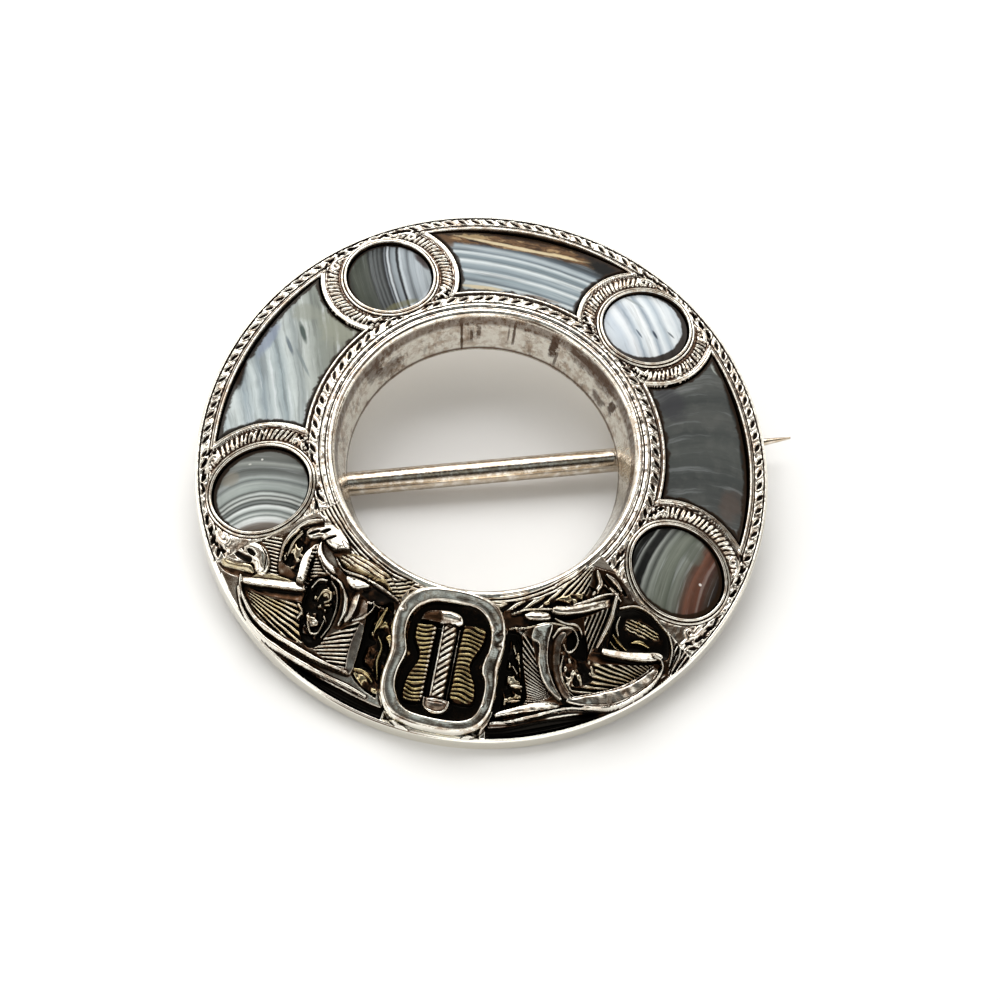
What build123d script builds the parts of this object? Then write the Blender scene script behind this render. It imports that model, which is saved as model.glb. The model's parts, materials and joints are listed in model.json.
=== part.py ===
from build123d import *
import os
from math import asin, cos, hypot, radians, sin

# A silver pebble brooch: a sloped ring set with seven banded agates, a cast strap buckle
# between the two lowest stones, and a long pin across the back.
# It is drawn in millimetres on its flat back, with the buckle towards -Y, and at the end it is
# turned to the way it rests by itself: on the foot of the ring, the hinge and the catch.

# Ring
EDGE_RADIUS = 21.0  # outer edge of the sloped front
FOOT_FLARE = 0.15  # the outer wall's foot, at the back, stands out this far
EDGE_HEIGHT = 1.15  # outer wall, from the back to the edge of the front
RIM_RADIUS = 11.2  # top of the rim round the hole
RIM_HEIGHT = 4.0  # top of the rim above the back
LIP_WIDTH = 0.36  # rounded lip just inside the rim
HOLE_RADIUS = 10.0  # foot of the collar, where the hole is narrowest
SKIN = 0.6  # how deep raised work is rooted in the front

# Border grounds, sunk between the stones and the two edges of the front
OUTER_BORDER_INSET = 0.75  # from the outer edge to the middle of the border
OUTER_BORDER_WIDTH = 0.6
INNER_BORDER_INSET = 1.1  # from the rim to the middle of the border
INNER_BORDER_WIDTH = 0.9
GROUND_DEPTH = 0.18  # of the borders and of the crescents

# Stones, on one circle, counted from the place opposite the buckle
OUTER_MARGIN = 1.5  # metal between the panels and the outer edge
INNER_MARGIN = 1.95  # metal between the panels and the rim
STONE_PITCH = 37.1  # degrees from each stone to the next
CEMENT_GAP = 0.08  # round each stone, and under it
PANEL_THICKNESS = 0.9
PANEL_DROP = 0.32  # a flat panel's face lies this far below the front at its middle
PANEL_END_GAP = 2.1  # metal between an oval cell and the panel cell beside it
OVAL_LONG = 7.0  # across the ring, seen from above
OVAL_WIDE = 6.3  # along the ring
OVAL_GIRDLE = 0.85  # straight side of an oval stone
OVAL_DOME = 0.5  # rise of its top above the girdle
OVAL_DROP = 0.22  # its girdle lies this far below the front
STONE_BEVEL = 0.1

# Bezels, and the hatched crescents between an oval and a panel
BEZEL_WIDTH = 0.42
BEZEL_HEIGHT = 0.3
CRESCENT_GAP = 0.6  # from the oval cell to the sunk crescent
CRESCENT_WIDTH = 1.0
CRESCENT_END_GAP = 0.15  # between a crescent's ends and the two arcs of the panels
BORDER_REACH = 3.35  # steps of pitch from the top to each end of the borders
CRESCENT_TURN = 7.0  # degrees between an oval's middle and the start of its crescent
LINE_WIDTH = 0.3  # raised line between a crescent and its panel
LINE_HEIGHT = 0.16

# Buckle, cast on the front
BUCKLE_RADIUS = 16.0  # its middle, from the middle of the ring
BUCKLE_WIDTH = 8.0
BUCKLE_LENGTH = 9.5
BUCKLE_CORNER = 3.4
BUCKLE_BAR = 1.05  # width of its frame
BUCKLE_HEIGHT = 0.95  # above the front
BUCKLE_ROUND = 0.4
LOBE_CORNER = 1.95  # its opening is two rounded lobes, which leave a cusp on each side
LOBE_OVERLAP = 0.9
WELL_DEPTH = 0.25
TONGUE_WIDTH = 1.1
TONGUE_LENGTH = 5.2
TONGUE_HEIGHT = 0.7
KNOB_WIDTH = 1.5
KNOB_HEIGHT = 0.85
PAD_WIDTH = 1.45
PAD_LENGTH = 5.0
PAD_GAP = 0.25  # from the tongue to a ribbed pad
PAD_HEIGHT = 0.2
PAD_RIBS = 13
RIB_HEIGHT = 0.13  # above the pad
RIB_SHARE = 0.55  # of the spacing of the ribs

# Ribbon on each side of the buckle. Angles are degrees from the buckle's line, and
# across is 0 at the rim and 1 at the edge of the front.
RIBBON_HEIGHT = 0.35
HEM_WIDTH = 0.6
FOLD_WIDTH = 0.5
STRIP_WIDTH = 0.8
FOLD_HEIGHT = 0.75
SCROLL_LONG = 3.6
SCROLL_WIDE = 2.1
SCROLL_WALL = 0.4
LEAF_LONG = 3.4
LEAF_WIDE = 1.9
LEAF_WALL = 0.3
LEAF_HEIGHT = 0.3
HOLLOW_DEPTH = 0.3  # polished hollow below the ribbon

# Pin and its hinge. Distances along are from the middle of the ring, on the pin's line.
PIN_TURN = 17.9  # degrees from +X
PIN_OFFSET = 0.35  # the pin's line passes this far from the middle of the ring
PIN_DROP = 1.2  # pin's axis below the back
PIN_RADIUS = 0.9
HINGE_ALONG = -16.3
TAPER_ALONG = 10.5  # where the pin starts to thin
POINT_LENGTH = 1.9  # fine point beyond the taper
THIN_RADIUS = 0.27
TIP_ALONG = 23.7
TIP_RADIUS = 0.08
SPRING_BEND = 0.5  # how far the sprung pin's tip bends off its line
EYE_RADIUS = 1.05
EYE_THICKNESS = 1.2
NECK_LENGTH = 0.45  # flat neck beyond the lugs
RIVET_RADIUS = 0.38
RIVET_RUNNING_GAP = 0.05  # in the pin's eye
RIVET_FIT_GAP = 0.02  # in the lugs
RIVET_HEAD_RADIUS = 0.65
RIVET_HEAD_HEIGHT = 0.3
LUG_RADIUS = 1.0
LUG_THICKNESS = 0.7
LUG_GAP = 0.1  # between the eye and each lug
CATCH_ALONG = 16.7
CATCH_LENGTH = 2.4
CATCH_BORE = 1.25  # inner radius of the curled catch
CATCH_WALL = 0.45
CATCH_SINK = 0.5  # the curl's middle lies this far below the pin's axis
CATCH_MOUTH_GAP = 0.1  # on each side of the pin in the catch's mouth
CATCH_FOOT_WIDTH = 1.6

TALL = 4 * RIM_HEIGHT  # taller than anything on the front
FOOT_RADIUS = EDGE_RADIUS + FOOT_FLARE
FRONT_WIDTH = EDGE_RADIUS - RIM_RADIUS
OUTER_BORDER_RADIUS = EDGE_RADIUS - OUTER_BORDER_INSET
INNER_BORDER_RADIUS = RIM_RADIUS + INNER_BORDER_INSET
PANEL_OUTER_RADIUS = EDGE_RADIUS - OUTER_MARGIN
PANEL_INNER_RADIUS = RIM_RADIUS + INNER_MARGIN
STONE_RADIUS = (PANEL_OUTER_RADIUS + PANEL_INNER_RADIUS) / 2
THIN_ALONG = TIP_ALONG - POINT_LENGTH
SLOPE = (RIM_HEIGHT - EDGE_HEIGHT) / FRONT_WIDTH

# Stones in order round the ring: name and steps of pitch, counted clockwise from the top
PANELS = [("agate_panel_left", -2), ("agate_panel_top", 0), ("agate_panel_right", 2)]
OVALS = [
    ("agate_oval_lower_left", -3),
    ("agate_oval_upper_left", -1),
    ("agate_oval_upper_right", 1),
    ("agate_oval_lower_right", 3),
]
# Each crescent lies between an oval and a panel: their steps
CRESCENTS = [(-3, -2), (-1, -2), (-1, 0), (1, 0), (1, 2), (3, 2)]

# One side's ribbon, cast alike on both sides: degrees from the buckle's line, share across
SAIL_OUTLINE = [
    (49.5, 0.88),
    (42.4, 0.916),
    (35.6, 0.89),
    (26.6, 0.82),
    (15.5, 0.84),
    (16.0, 0.56),
    (20.9, 0.26),
    (29.8, 0.29),
    (38.8, 0.585),
]
HEM_LINE = [(50.5, 0.87), (43.0, 0.936), (35.8, 0.915), (27.0, 0.838), (13.5, 0.86)]
BAR_LINE = [(40.2, 0.58), (50.0, 0.84)]
UPRIGHT_LINE = [(39.9, 0.56), (50.3, 0.328)]
UPPER_LINE = [(49.3, 0.311), (43.0, 0.279), (34.0, 0.224), (22.6, 0.2)]
STRIP_LINE = [(26.0, 0.3), (24.7, 0.52), (27.1, 0.76)]
SCROLL_PLACE = (32.3, 0.5)
LEAF_PLACE = (50.5, 0.574)
HOLLOW_OUTER_ARC = [(56.0, 0.985), (34.0, 0.985), (12.0, 0.985)]
HOLLOW_INNER_LINE = [(12.0, 0.885), (27.6, 0.885), (36.1, 0.967), (52.0, 0.967)]


def front_height(radius):
    """Height of the sloped front above the back."""
    return EDGE_HEIGHT + SLOPE * (EDGE_RADIUS - radius)


def front_layer(low, high):
    """A sheet that follows the front, from one height above it to another."""
    inner, outer = RIM_RADIUS - SKIN, EDGE_RADIUS + SKIN
    return revolve(
        Plane.XZ
        * make_face(
            Polyline(
                (inner, front_height(inner) + low),
                (outer, front_height(outer) + low),
                (outer, front_height(outer) + high),
                (inner, front_height(inner) + high),
                close=True,
            )
        ),
        axis=Axis.Z,
    )


def on_front(outline, low, high):
    """An outline seen from above, made solid between two heights above the front."""
    return extrude(outline, TALL, dir=(0, 0, 1)) & front_layer(low, high)


def station_angle(step):
    return 90 - step * STONE_PITCH


def front_plane(angle, radius, lift=0.0):
    """Plane lying on the front: its x runs round the ring, its y towards the hole."""
    direction = Vector(cos(radians(angle)), sin(radians(angle)), 0)
    outward = Vector(direction.X * SLOPE, direction.Y * SLOPE, 1).normalized()
    origin = direction * radius + Vector(0, 0, front_height(radius))
    along = Vector(-direction.Y, direction.X, 0)
    return Plane(origin=origin + outward * lift, x_dir=along, z_dir=outward)


def slab_below(plane, thickness):
    """Everything within a thickness under a plane."""
    return plane * Pos(0, 0, -thickness / 2) * Box(TALL * 2, TALL * 2, thickness)


def oval_outline(step, margin=0.0):
    """An oval seen from above, at its stone's place, larger by a margin."""
    angle = station_angle(step)
    place = Rot(0, 0, angle) * Pos(STONE_RADIUS, 0, 0)
    return place * Ellipse(OVAL_LONG / 2 + margin, OVAL_WIDE / 2 + margin)


def panel_outline(step, margin=0.0):
    """A panel seen from above: its ends are hollowed by the ovals on each side."""
    outline = Circle(PANEL_OUTER_RADIUS + margin) - Circle(PANEL_INNER_RADIUS - margin)
    outline &= sector(station_angle(step - 1), station_angle(step + 1))
    for side in (step - 1, step + 1):
        outline -= oval_outline(side, PANEL_END_GAP - margin)
    return outline


def panel_stone(step):
    plane = front_plane(station_angle(step), STONE_RADIUS, -PANEL_DROP)
    stone = extrude(panel_outline(step, -CEMENT_GAP), TALL)
    stone &= slab_below(plane, PANEL_THICKNESS)
    top = stone.faces().sort_by(Axis(plane.origin, plane.z_dir))[-1]
    return chamfer(top.edges(), STONE_BEVEL)


def panel_cell(step):
    floor_drop = PANEL_DROP + PANEL_THICKNESS + CEMENT_GAP
    floor = front_plane(station_angle(step), STONE_RADIUS, TALL - floor_drop)
    return extrude(panel_outline(step), TALL) & slab_below(floor, TALL)


def oval_stone(step):
    girdle_top = front_plane(station_angle(step), STONE_RADIUS, -OVAL_DROP)
    half = OVAL_WIDE / 2
    dome_radius = (half**2 + OVAL_DOME**2) / (2 * OVAL_DOME)
    ball = girdle_top * Pos(0, 0, OVAL_DOME - dome_radius) * Sphere(dome_radius)
    crown = girdle_top * Pos(0, 0, OVAL_DOME)
    body = extrude(oval_outline(step, -CEMENT_GAP), TALL)
    body &= slab_below(Plane(crown), OVAL_GIRDLE + OVAL_DOME)
    return body & (ball + slab_below(girdle_top, OVAL_GIRDLE))


def oval_cell(step):
    floor_drop = OVAL_DROP + OVAL_GIRDLE + CEMENT_GAP
    floor = front_plane(station_angle(step), STONE_RADIUS, TALL - floor_drop)
    return extrude(oval_outline(step), TALL) & slab_below(floor, TALL)


def sector(first, last):
    """Triangle from the middle of the ring, between two angles, wider than the ring."""
    reach = 2 * EDGE_RADIUS
    corners = [(reach * cos(radians(angle)), reach * sin(radians(angle))) for angle in (first, last)]
    return make_face(Polyline((0, 0), *corners, close=True))


def crescent_band(oval_step, panel_step, start, width):
    """Band beside an oval cell, on its panel's side, kept between the two borders."""
    band = oval_outline(oval_step, start + width) - oval_outline(oval_step, start)
    outer = PANEL_OUTER_RADIUS + CRESCENT_END_GAP
    inner = PANEL_INNER_RADIUS - CRESCENT_END_GAP
    band &= Circle(outer) - Circle(inner)
    toward_panel = -1 if panel_step > oval_step else 1
    first = station_angle(oval_step) + toward_panel * CRESCENT_TURN
    return band & sector(first, station_angle(panel_step))


def border_ground(radius, width):
    """Sunk ground of a border, beside the stones and not the buckle."""
    outline = Circle(radius + width / 2) - Circle(radius - width / 2)
    end = STONE_PITCH * BORDER_REACH
    outline -= sector(90 + end, 270)
    outline -= sector(270, 450 - end)
    for _, step in OVALS:
        outline -= oval_outline(step, BEZEL_WIDTH + CEMENT_GAP)
    return outline


def sunk_grounds():
    """Borders and crescents seen from above."""
    outline = border_ground(OUTER_BORDER_RADIUS, OUTER_BORDER_WIDTH)
    outline += border_ground(INNER_BORDER_RADIUS, INNER_BORDER_WIDTH)
    for oval_step, panel_step in CRESCENTS:
        outline += crescent_band(oval_step, panel_step, CRESCENT_GAP, CRESCENT_WIDTH)
    return outline


def raised_lines():
    """Lines beside the crescents seen from above."""
    start = CRESCENT_GAP + CRESCENT_WIDTH
    bands = [crescent_band(oval, panel, start, LINE_WIDTH) for oval, panel in CRESCENTS]
    return Sketch() + bands


def bezel_seats():
    """Ovals seen from above: their cells are cut next, which leaves the bezel walls."""
    return Sketch() + [oval_outline(step, BEZEL_WIDTH) for _, step in OVALS]


def ring():
    """Ring turned about the hole: flat back, outer wall, sloped front, lip and collar."""
    lip_foot = (RIM_RADIUS - LIP_WIDTH, RIM_HEIGHT - LIP_WIDTH)
    lip_top = (RIM_RADIUS - LIP_WIDTH / 4, RIM_HEIGHT - LIP_WIDTH / 8)
    profile = Polyline(
        lip_foot,
        (HOLE_RADIUS, 0),
        (FOOT_RADIUS, 0),
        (EDGE_RADIUS, EDGE_HEIGHT),
        (RIM_RADIUS, RIM_HEIGHT),
    ) + ThreePointArc((RIM_RADIUS, RIM_HEIGHT), lip_top, lip_foot)
    return revolve(Plane.XZ * make_face(profile), axis=Axis.Z)


def place(spot, side):
    """Point seen from above, from degrees off the buckle's line and a share across."""
    turn, across = spot
    radius = RIM_RADIUS + across * FRONT_WIDTH
    return (side * radius * sin(radians(turn)), -radius * cos(radians(turn)))


def strip(line, width, side, height):
    """Raised strip along a smooth line."""
    points = [place(spot, side) for spot in line]
    path = Line(*points) if len(points) == 2 else Spline(*points)
    return on_front(trace(path, width), -SKIN, height)


def oval_wall(spot, side, long, wide, wall, height, lean):
    """Raised oval wall, leaning by some degrees from the line to the middle."""
    x, y = place(spot, side)
    outline = Ellipse(wide / 2, long / 2) - Ellipse(wide / 2 - wall, long / 2 - wall)
    return on_front(Pos(x, y, 0) * Rot(0, 0, side * lean) * outline, -SKIN, height)


def ribbon(side):
    """Folded ribbon on one side of the buckle."""
    sail = make_face(Polyline(*[place(spot, side) for spot in SAIL_OUTLINE], close=True))
    scroll_lean, leaf_lean = 12, 80
    pieces = on_front(sail, -SKIN, RIBBON_HEIGHT)
    pieces += strip(HEM_LINE, HEM_WIDTH, side, FOLD_HEIGHT)
    pieces += strip(BAR_LINE, FOLD_WIDTH, side, FOLD_HEIGHT)
    pieces += strip(UPRIGHT_LINE, FOLD_WIDTH, side, FOLD_HEIGHT)
    pieces += strip(UPPER_LINE, FOLD_WIDTH, side, FOLD_HEIGHT)
    pieces += strip(STRIP_LINE, STRIP_WIDTH, side, FOLD_HEIGHT)
    pieces += oval_wall(
        SCROLL_PLACE, side, SCROLL_LONG, SCROLL_WIDE, SCROLL_WALL, FOLD_HEIGHT, scroll_lean
    )
    pieces += oval_wall(LEAF_PLACE, side, LEAF_LONG, LEAF_WIDE, LEAF_WALL, LEAF_HEIGHT, leaf_lean)
    return pieces


def hollow(side):
    """Polished hollow between the ribbon and the outer edge."""
    outer = [place(spot, side) for spot in HOLLOW_OUTER_ARC]
    inner = [place(spot, side) for spot in HOLLOW_INNER_LINE]
    outline = make_face(ThreePointArc(*outer) + Polyline(outer[-1], *inner, outer[0]))
    return on_front(outline, -HOLLOW_DEPTH, SKIN)


def buckle_plane():
    return front_plane(-90, BUCKLE_RADIUS)


def buckle_opening():
    """Waisted opening: two rounded lobes that run into each other."""
    width, length = BUCKLE_WIDTH - 2 * BUCKLE_BAR, BUCKLE_LENGTH - 2 * BUCKLE_BAR
    lobe_length = (length + LOBE_OVERLAP) / 2
    lobe = RectangleRounded(width, lobe_length, LOBE_CORNER)
    shift = (length - lobe_length) / 2
    return Pos(0, shift) * lobe + Pos(0, -shift) * lobe


def buckle():
    plane = buckle_plane()
    outline = RectangleRounded(BUCKLE_WIDTH, BUCKLE_LENGTH, BUCKLE_CORNER)
    body = extrude(outline, BUCKLE_HEIGHT + SKIN)
    body = fillet(body.faces().sort_by(Axis.Z)[-1].edges(), BUCKLE_ROUND)
    body -= extrude(buckle_opening(), BUCKLE_HEIGHT + SKIN)
    return plane * Pos(0, 0, -SKIN) * body


def tongue():
    plane = buckle_plane()
    bar = extrude(Rectangle(TONGUE_WIDTH, TONGUE_LENGTH), TONGUE_HEIGHT + SKIN)
    bar = chamfer(bar.edges().filter_by(Axis.Y).sort_by(Axis.Z)[-2:], TONGUE_WIDTH / 5)
    for end in (-1, 1):
        knob = Cylinder(KNOB_WIDTH / 2, KNOB_HEIGHT + SKIN)
        knob = fillet(knob.faces().sort_by(Axis.Z)[-1].edges(), KNOB_WIDTH / 4)
        bar += Pos(0, end * TONGUE_LENGTH / 2, (KNOB_HEIGHT + SKIN) / 2) * knob
    return plane * Pos(0, 0, -SKIN) * bar


def ribbed_pad(side):
    """Ribbed strap showing through the buckle on one side of its tongue."""
    plane = buckle_plane()
    middle = side * (TONGUE_WIDTH / 2 + PAD_GAP + PAD_WIDTH / 2)
    pad = extrude(Pos(middle, 0) * Rectangle(PAD_WIDTH, PAD_LENGTH), PAD_HEIGHT + SKIN)
    spacing = PAD_LENGTH / PAD_RIBS
    for count in range(PAD_RIBS):
        y = (count + 0.5) * spacing - PAD_LENGTH / 2
        rib = Rectangle(PAD_WIDTH, spacing * RIB_SHARE)
        pad += extrude(Pos(middle, y) * rib, PAD_HEIGHT + RIB_HEIGHT + SKIN)
    return plane * Pos(0, 0, -SKIN) * pad


def buckle_well():
    """Sunk ground inside the buckle."""
    return buckle_plane() * Pos(0, 0, -WELL_DEPTH) * extrude(buckle_opening(), TALL)


def pin_plane(along):
    """Plane square to the pin: its x runs across the back, its y towards the back."""
    run = Vector(cos(radians(PIN_TURN)), sin(radians(PIN_TURN)), 0)
    across = Vector(-run.Y, run.X, 0)
    return Plane(
        origin=run * along + across * PIN_OFFSET + Vector(0, 0, -PIN_DROP),
        x_dir=across,
        z_dir=run,
    )


def hinge_frame():
    """At the rivet: its x along the pin, its y along the rivet, its z square to the back."""
    plane = pin_plane(HINGE_ALONG)
    return Plane(origin=plane.origin, x_dir=plane.z_dir, z_dir=Vector(0, 0, 1))


def lug(side):
    """Hinge lug: a rounded ear that hangs from the back."""
    ear = Rectangle(2 * LUG_RADIUS, PIN_DROP + SKIN, align=(Align.CENTER, Align.MIN))
    ear += Circle(LUG_RADIUS)
    ear -= Circle(RIVET_RADIUS + RIVET_FIT_GAP)
    near = side * (EYE_THICKNESS / 2 + LUG_GAP)
    face_out = Plane(origin=(0, near, 0), x_dir=(1, 0, 0), z_dir=(0, -1, 0))
    return hinge_frame() * face_out * extrude(ear, -side * LUG_THICKNESS)


def hinge_rivet():
    reach = EYE_THICKNESS / 2 + LUG_GAP + LUG_THICKNESS + RIVET_FIT_GAP
    shank = Cylinder(RIVET_RADIUS, 2 * reach)
    for end in (-1, 1):
        head = Cylinder(RIVET_HEAD_RADIUS, RIVET_HEAD_HEIGHT)
        outer = head.faces().sort_by(Axis.Z)[-1 if end > 0 else 0]
        head = fillet(outer.edges(), RIVET_HEAD_HEIGHT / 2)
        shank += Pos(0, 0, end * (reach + RIVET_HEAD_HEIGHT / 2)) * head
    return hinge_frame() * Rot(90, 0, 0) * shank


def bend_at(along):
    """How far the sprung pin has left its straight line."""
    past = max(along - TAPER_ALONG, 0) / (TIP_ALONG - TAPER_ALONG)
    return SPRING_BEND * past**2


def pin_radius_at(along):
    share = (along - TAPER_ALONG) / (THIN_ALONG - TAPER_ALONG)
    return PIN_RADIUS + (THIN_RADIUS - PIN_RADIUS) * min(max(share, 0), 1)


def pin():
    """Flattened eye and neck, round shank, and a taper bent slightly by its spring."""
    frame = hinge_frame()
    shank_start = LUG_RADIUS + NECK_LENGTH
    flat = Cylinder(EYE_RADIUS, EYE_THICKNESS, rotation=(90, 0, 0))
    flat += Pos(shank_start / 2, 0, 0) * Box(shank_start, EYE_THICKNESS, 2 * PIN_RADIUS)
    flat -= Cylinder(RIVET_RADIUS + RIVET_RUNNING_GAP, 2 * EYE_THICKNESS, rotation=(90, 0, 0))
    start = HINGE_ALONG + shank_start
    shank = extrude(pin_plane(start) * Circle(PIN_RADIUS), TAPER_ALONG - start)
    steps = 4
    sections = []
    for count in range(steps + 1):
        along = TAPER_ALONG + (THIN_ALONG - TAPER_ALONG) * count / steps
        section = Pos(bend_at(along), 0) * Circle(pin_radius_at(along))
        sections.append(pin_plane(along) * section)
    sections.append(pin_plane(TIP_ALONG) * Pos(SPRING_BEND, 0) * Circle(TIP_RADIUS))
    return frame * flat + shank + loft(sections, ruled=True)


def catch():
    """Curled catch, open away from the back so that the pin swings straight out."""
    first, last = CATCH_ALONG - CATCH_LENGTH / 2, CATCH_ALONG + CATCH_LENGTH / 2
    outer = CATCH_BORE + CATCH_WALL
    mouth = 2 * (pin_radius_at(first) + CATCH_MOUTH_GAP)
    curl = Circle(outer)
    foot_height = PIN_DROP + CATCH_SINK + SKIN
    curl += Rectangle(CATCH_FOOT_WIDTH, foot_height, align=(Align.CENTER, Align.MIN))
    curl -= Circle(CATCH_BORE)
    curl -= Rectangle(mouth, 2 * outer, align=(Align.CENTER, Align.MAX))
    middle = Pos(bend_at(CATCH_ALONG), -CATCH_SINK)
    return extrude(pin_plane(first) * middle * curl, last - first)


def silver_frame():
    """Cast ring with everything soldered to it, front and back."""
    frame = ring()
    frame -= on_front(sunk_grounds(), -GROUND_DEPTH, SKIN)
    frame += on_front(bezel_seats(), -SKIN, BEZEL_HEIGHT)
    for _, step in OVALS:
        frame -= oval_cell(step)
    frame += on_front(raised_lines(), -SKIN, LINE_HEIGHT)
    for _, step in PANELS:
        frame -= panel_cell(step)
    for side in (-1, 1):
        frame -= hollow(side)
        frame += ribbon(side)
    frame -= buckle_well()
    frame += buckle()
    frame += tongue()
    for side in (-1, 1):
        frame += ribbed_pad(side)
        frame += lug(side)
    frame += catch()
    return frame


def rest_plane():
    """Plane that touches the foot of the ring, the near lug and the catch from below."""
    lug_across = PIN_OFFSET - EYE_THICKNESS / 2 - LUG_GAP - LUG_THICKNESS
    lug_depth = PIN_DROP + LUG_RADIUS
    catch_start = CATCH_ALONG - CATCH_LENGTH / 2
    mouth = pin_radius_at(catch_start) + CATCH_MOUTH_GAP
    outer = CATCH_BORE + CATCH_WALL
    catch_across = PIN_OFFSET + bend_at(CATCH_ALONG) - mouth
    catch_depth = PIN_DROP + CATCH_SINK + outer * cos(asin(mouth / outer))
    # The foot is a circle, so how much deeper the plane gets across the pin is found by halving
    low, high = 0.0, 1.0
    for _ in range(60):
        across_slope = (low + high) / 2
        lug_level = lug_depth - across_slope * lug_across
        catch_level = catch_depth - across_slope * catch_across
        along_slope = (catch_level - lug_level) / (catch_start - HINGE_ALONG)
        level = lug_level - along_slope * HINGE_ALONG
        reach = FOOT_RADIUS * hypot(along_slope, across_slope)
        low, high = (across_slope, high) if reach < level else (low, across_slope)
    run = Vector(cos(radians(PIN_TURN)), sin(radians(PIN_TURN)), 0)
    across = Vector(-run.Y, run.X, 0)
    deeper = run * along_slope + across * across_slope
    up = Vector(deeper.X, deeper.Y, 1).normalized()
    x_dir = Vector(0, 1, 0).cross(up)
    return Plane(origin=(0, 0, -level), x_dir=x_dir, z_dir=up)


nodes = {"silver_frame": silver_frame(), "pin": pin(), "hinge_rivet": hinge_rivet()}
for stone_name, step in PANELS:
    nodes[stone_name] = panel_stone(step)
for stone_name, step in OVALS:
    nodes[stone_name] = oval_stone(step)

lying = {name: rest_plane().to_local_coords(node.solid()) for name, node in nodes.items()}
boxes = [node.bounding_box() for node in lying.values()]
left, right = min(box.min.X for box in boxes), max(box.max.X for box in boxes)
near, far = min(box.min.Y for box in boxes), max(box.max.Y for box in boxes)
floor = min(box.min.Z for box in boxes)
standing = Pos(-(left + right) / 2, -(near + far) / 2, -floor)

os.makedirs("parts", exist_ok=True)
for name, node in lying.items():
    export_step(standing * node, f"parts/{name}.step")
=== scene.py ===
import json
from math import cos, pi, radians, sin

import bpy
import numpy as np
from mathutils import Matrix, Vector


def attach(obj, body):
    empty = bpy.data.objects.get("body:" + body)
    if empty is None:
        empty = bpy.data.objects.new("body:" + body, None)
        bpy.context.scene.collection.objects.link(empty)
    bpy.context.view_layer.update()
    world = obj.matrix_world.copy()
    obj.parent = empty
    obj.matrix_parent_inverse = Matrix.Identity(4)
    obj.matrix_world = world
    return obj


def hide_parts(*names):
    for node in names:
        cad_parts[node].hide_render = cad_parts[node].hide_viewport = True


bl_info = {
    "name": "Pebble brooch",
    "version": (1, 0, 0),
    "blender": (4, 5, 0),
    "location": "View3D > Sidebar > Brooch",
    "description": "Dresses the frame of a silver brooch set with seven banded agates",
    "category": "Add Mesh",
}

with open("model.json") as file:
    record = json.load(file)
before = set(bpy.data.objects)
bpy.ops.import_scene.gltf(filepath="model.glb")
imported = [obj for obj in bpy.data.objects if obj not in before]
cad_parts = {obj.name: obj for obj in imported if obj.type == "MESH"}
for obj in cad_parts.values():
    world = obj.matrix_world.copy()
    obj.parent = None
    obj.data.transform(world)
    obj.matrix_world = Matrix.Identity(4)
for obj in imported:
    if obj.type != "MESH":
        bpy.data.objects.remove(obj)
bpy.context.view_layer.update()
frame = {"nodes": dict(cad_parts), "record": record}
RECORD = frame["record"]
MM = 0.001

# The brooch is drawn in millimetres on its flat back, with the buckle towards -Y, and is then
# laid the way the frame rests.
EDGE_RADIUS = 21.0
FOOT_RADIUS = 21.15
EDGE_HEIGHT = 1.15
RIM_RADIUS = 11.2
RIM_HEIGHT = 4.0
HOLE_RADIUS = 10.0
LIP_WIDTH = 0.36
EDGE_ROUND = 0.12  # rounding between the front and the outer wall
SLOPE = (RIM_HEIGHT - EDGE_HEIGHT) / (EDGE_RADIUS - RIM_RADIUS)
BACK_SPOT = 15.0  # from the middle of the ring to the frame's mount on the back

# Stones, counted from the top
STONE_RADIUS = 16.325
STONE_PITCH = 37.1
PANEL_INNER_RADIUS = 13.15
PANEL_OUTER_RADIUS = 19.5
OVAL_LONG = 7.0
OVAL_WIDE = 6.3
PANEL_END_GAP = 2.1
CELL_DEPTH = 1.25
CEMENT_GAP = 0.08
OVAL_STEPS = (-3, -1, 1, 3)
PANEL_STEPS = (-2, 0, 2)
CRESCENTS = [(-3, -2), (-1, -2), (-1, 0), (1, 0), (1, 2), (3, 2)]

# Turns round the ring, in degrees from +X, where the engraved border ends and the ribbon starts
RIBBON_START = 214.0
RIBBON_END = 326.0
BORDER_FADE = 0.2
SEAM_FADE = 0.4  # all relief dies out towards these two seams


def lying_frame():
    """From the brooch's own millimetres to the metres of the resting frame."""
    back = next(mount for mount in RECORD["mounts"] if mount["name"] == "back_face")
    up = -Vector(back["axis"]).normalized()
    ahead = up.cross(Vector((1, 0, 0))).normalized()
    right = ahead.cross(up)
    origin = Vector(back["pos_m"]) - ahead * BACK_SPOT * MM
    turn = Matrix((right, ahead, up)).transposed()
    return Matrix.Translation(origin) @ turn.to_4x4() @ Matrix.Scale(MM, 4)


LYING = lying_frame()


# Helpers for forms in the plane of the front


def front_height(radius):
    """Height of the plain sloped front."""
    return EDGE_HEIGHT + SLOPE * (EDGE_RADIUS - radius)


def smooth(low, high, value):
    """0 at low, 1 at high, smooth between them; low may be the larger."""
    share = np.clip((value - low) / (high - low), 0, 1)
    return share * share * (3 - 2 * share)


def curve_through(points, steps=8):
    """Points along a smooth curve through a few chosen points."""
    knots = np.array(points, float)
    if len(knots) == 2:
        return knots
    padded = np.vstack([2 * knots[0] - knots[1], knots, 2 * knots[-1] - knots[-2]])
    out = []
    for before, first, last, after in zip(padded, padded[1:], padded[2:], padded[3:]):
        for share in np.linspace(0, 1, steps, endpoint=False):
            out.append(
                0.5
                * (
                    2 * first
                    + (last - before) * share
                    + (2 * before - 5 * first + 4 * last - after) * share**2
                    + (3 * first - before - 3 * last + after) * share**3
                )
            )
    return np.array(out + [knots[-1]])


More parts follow.
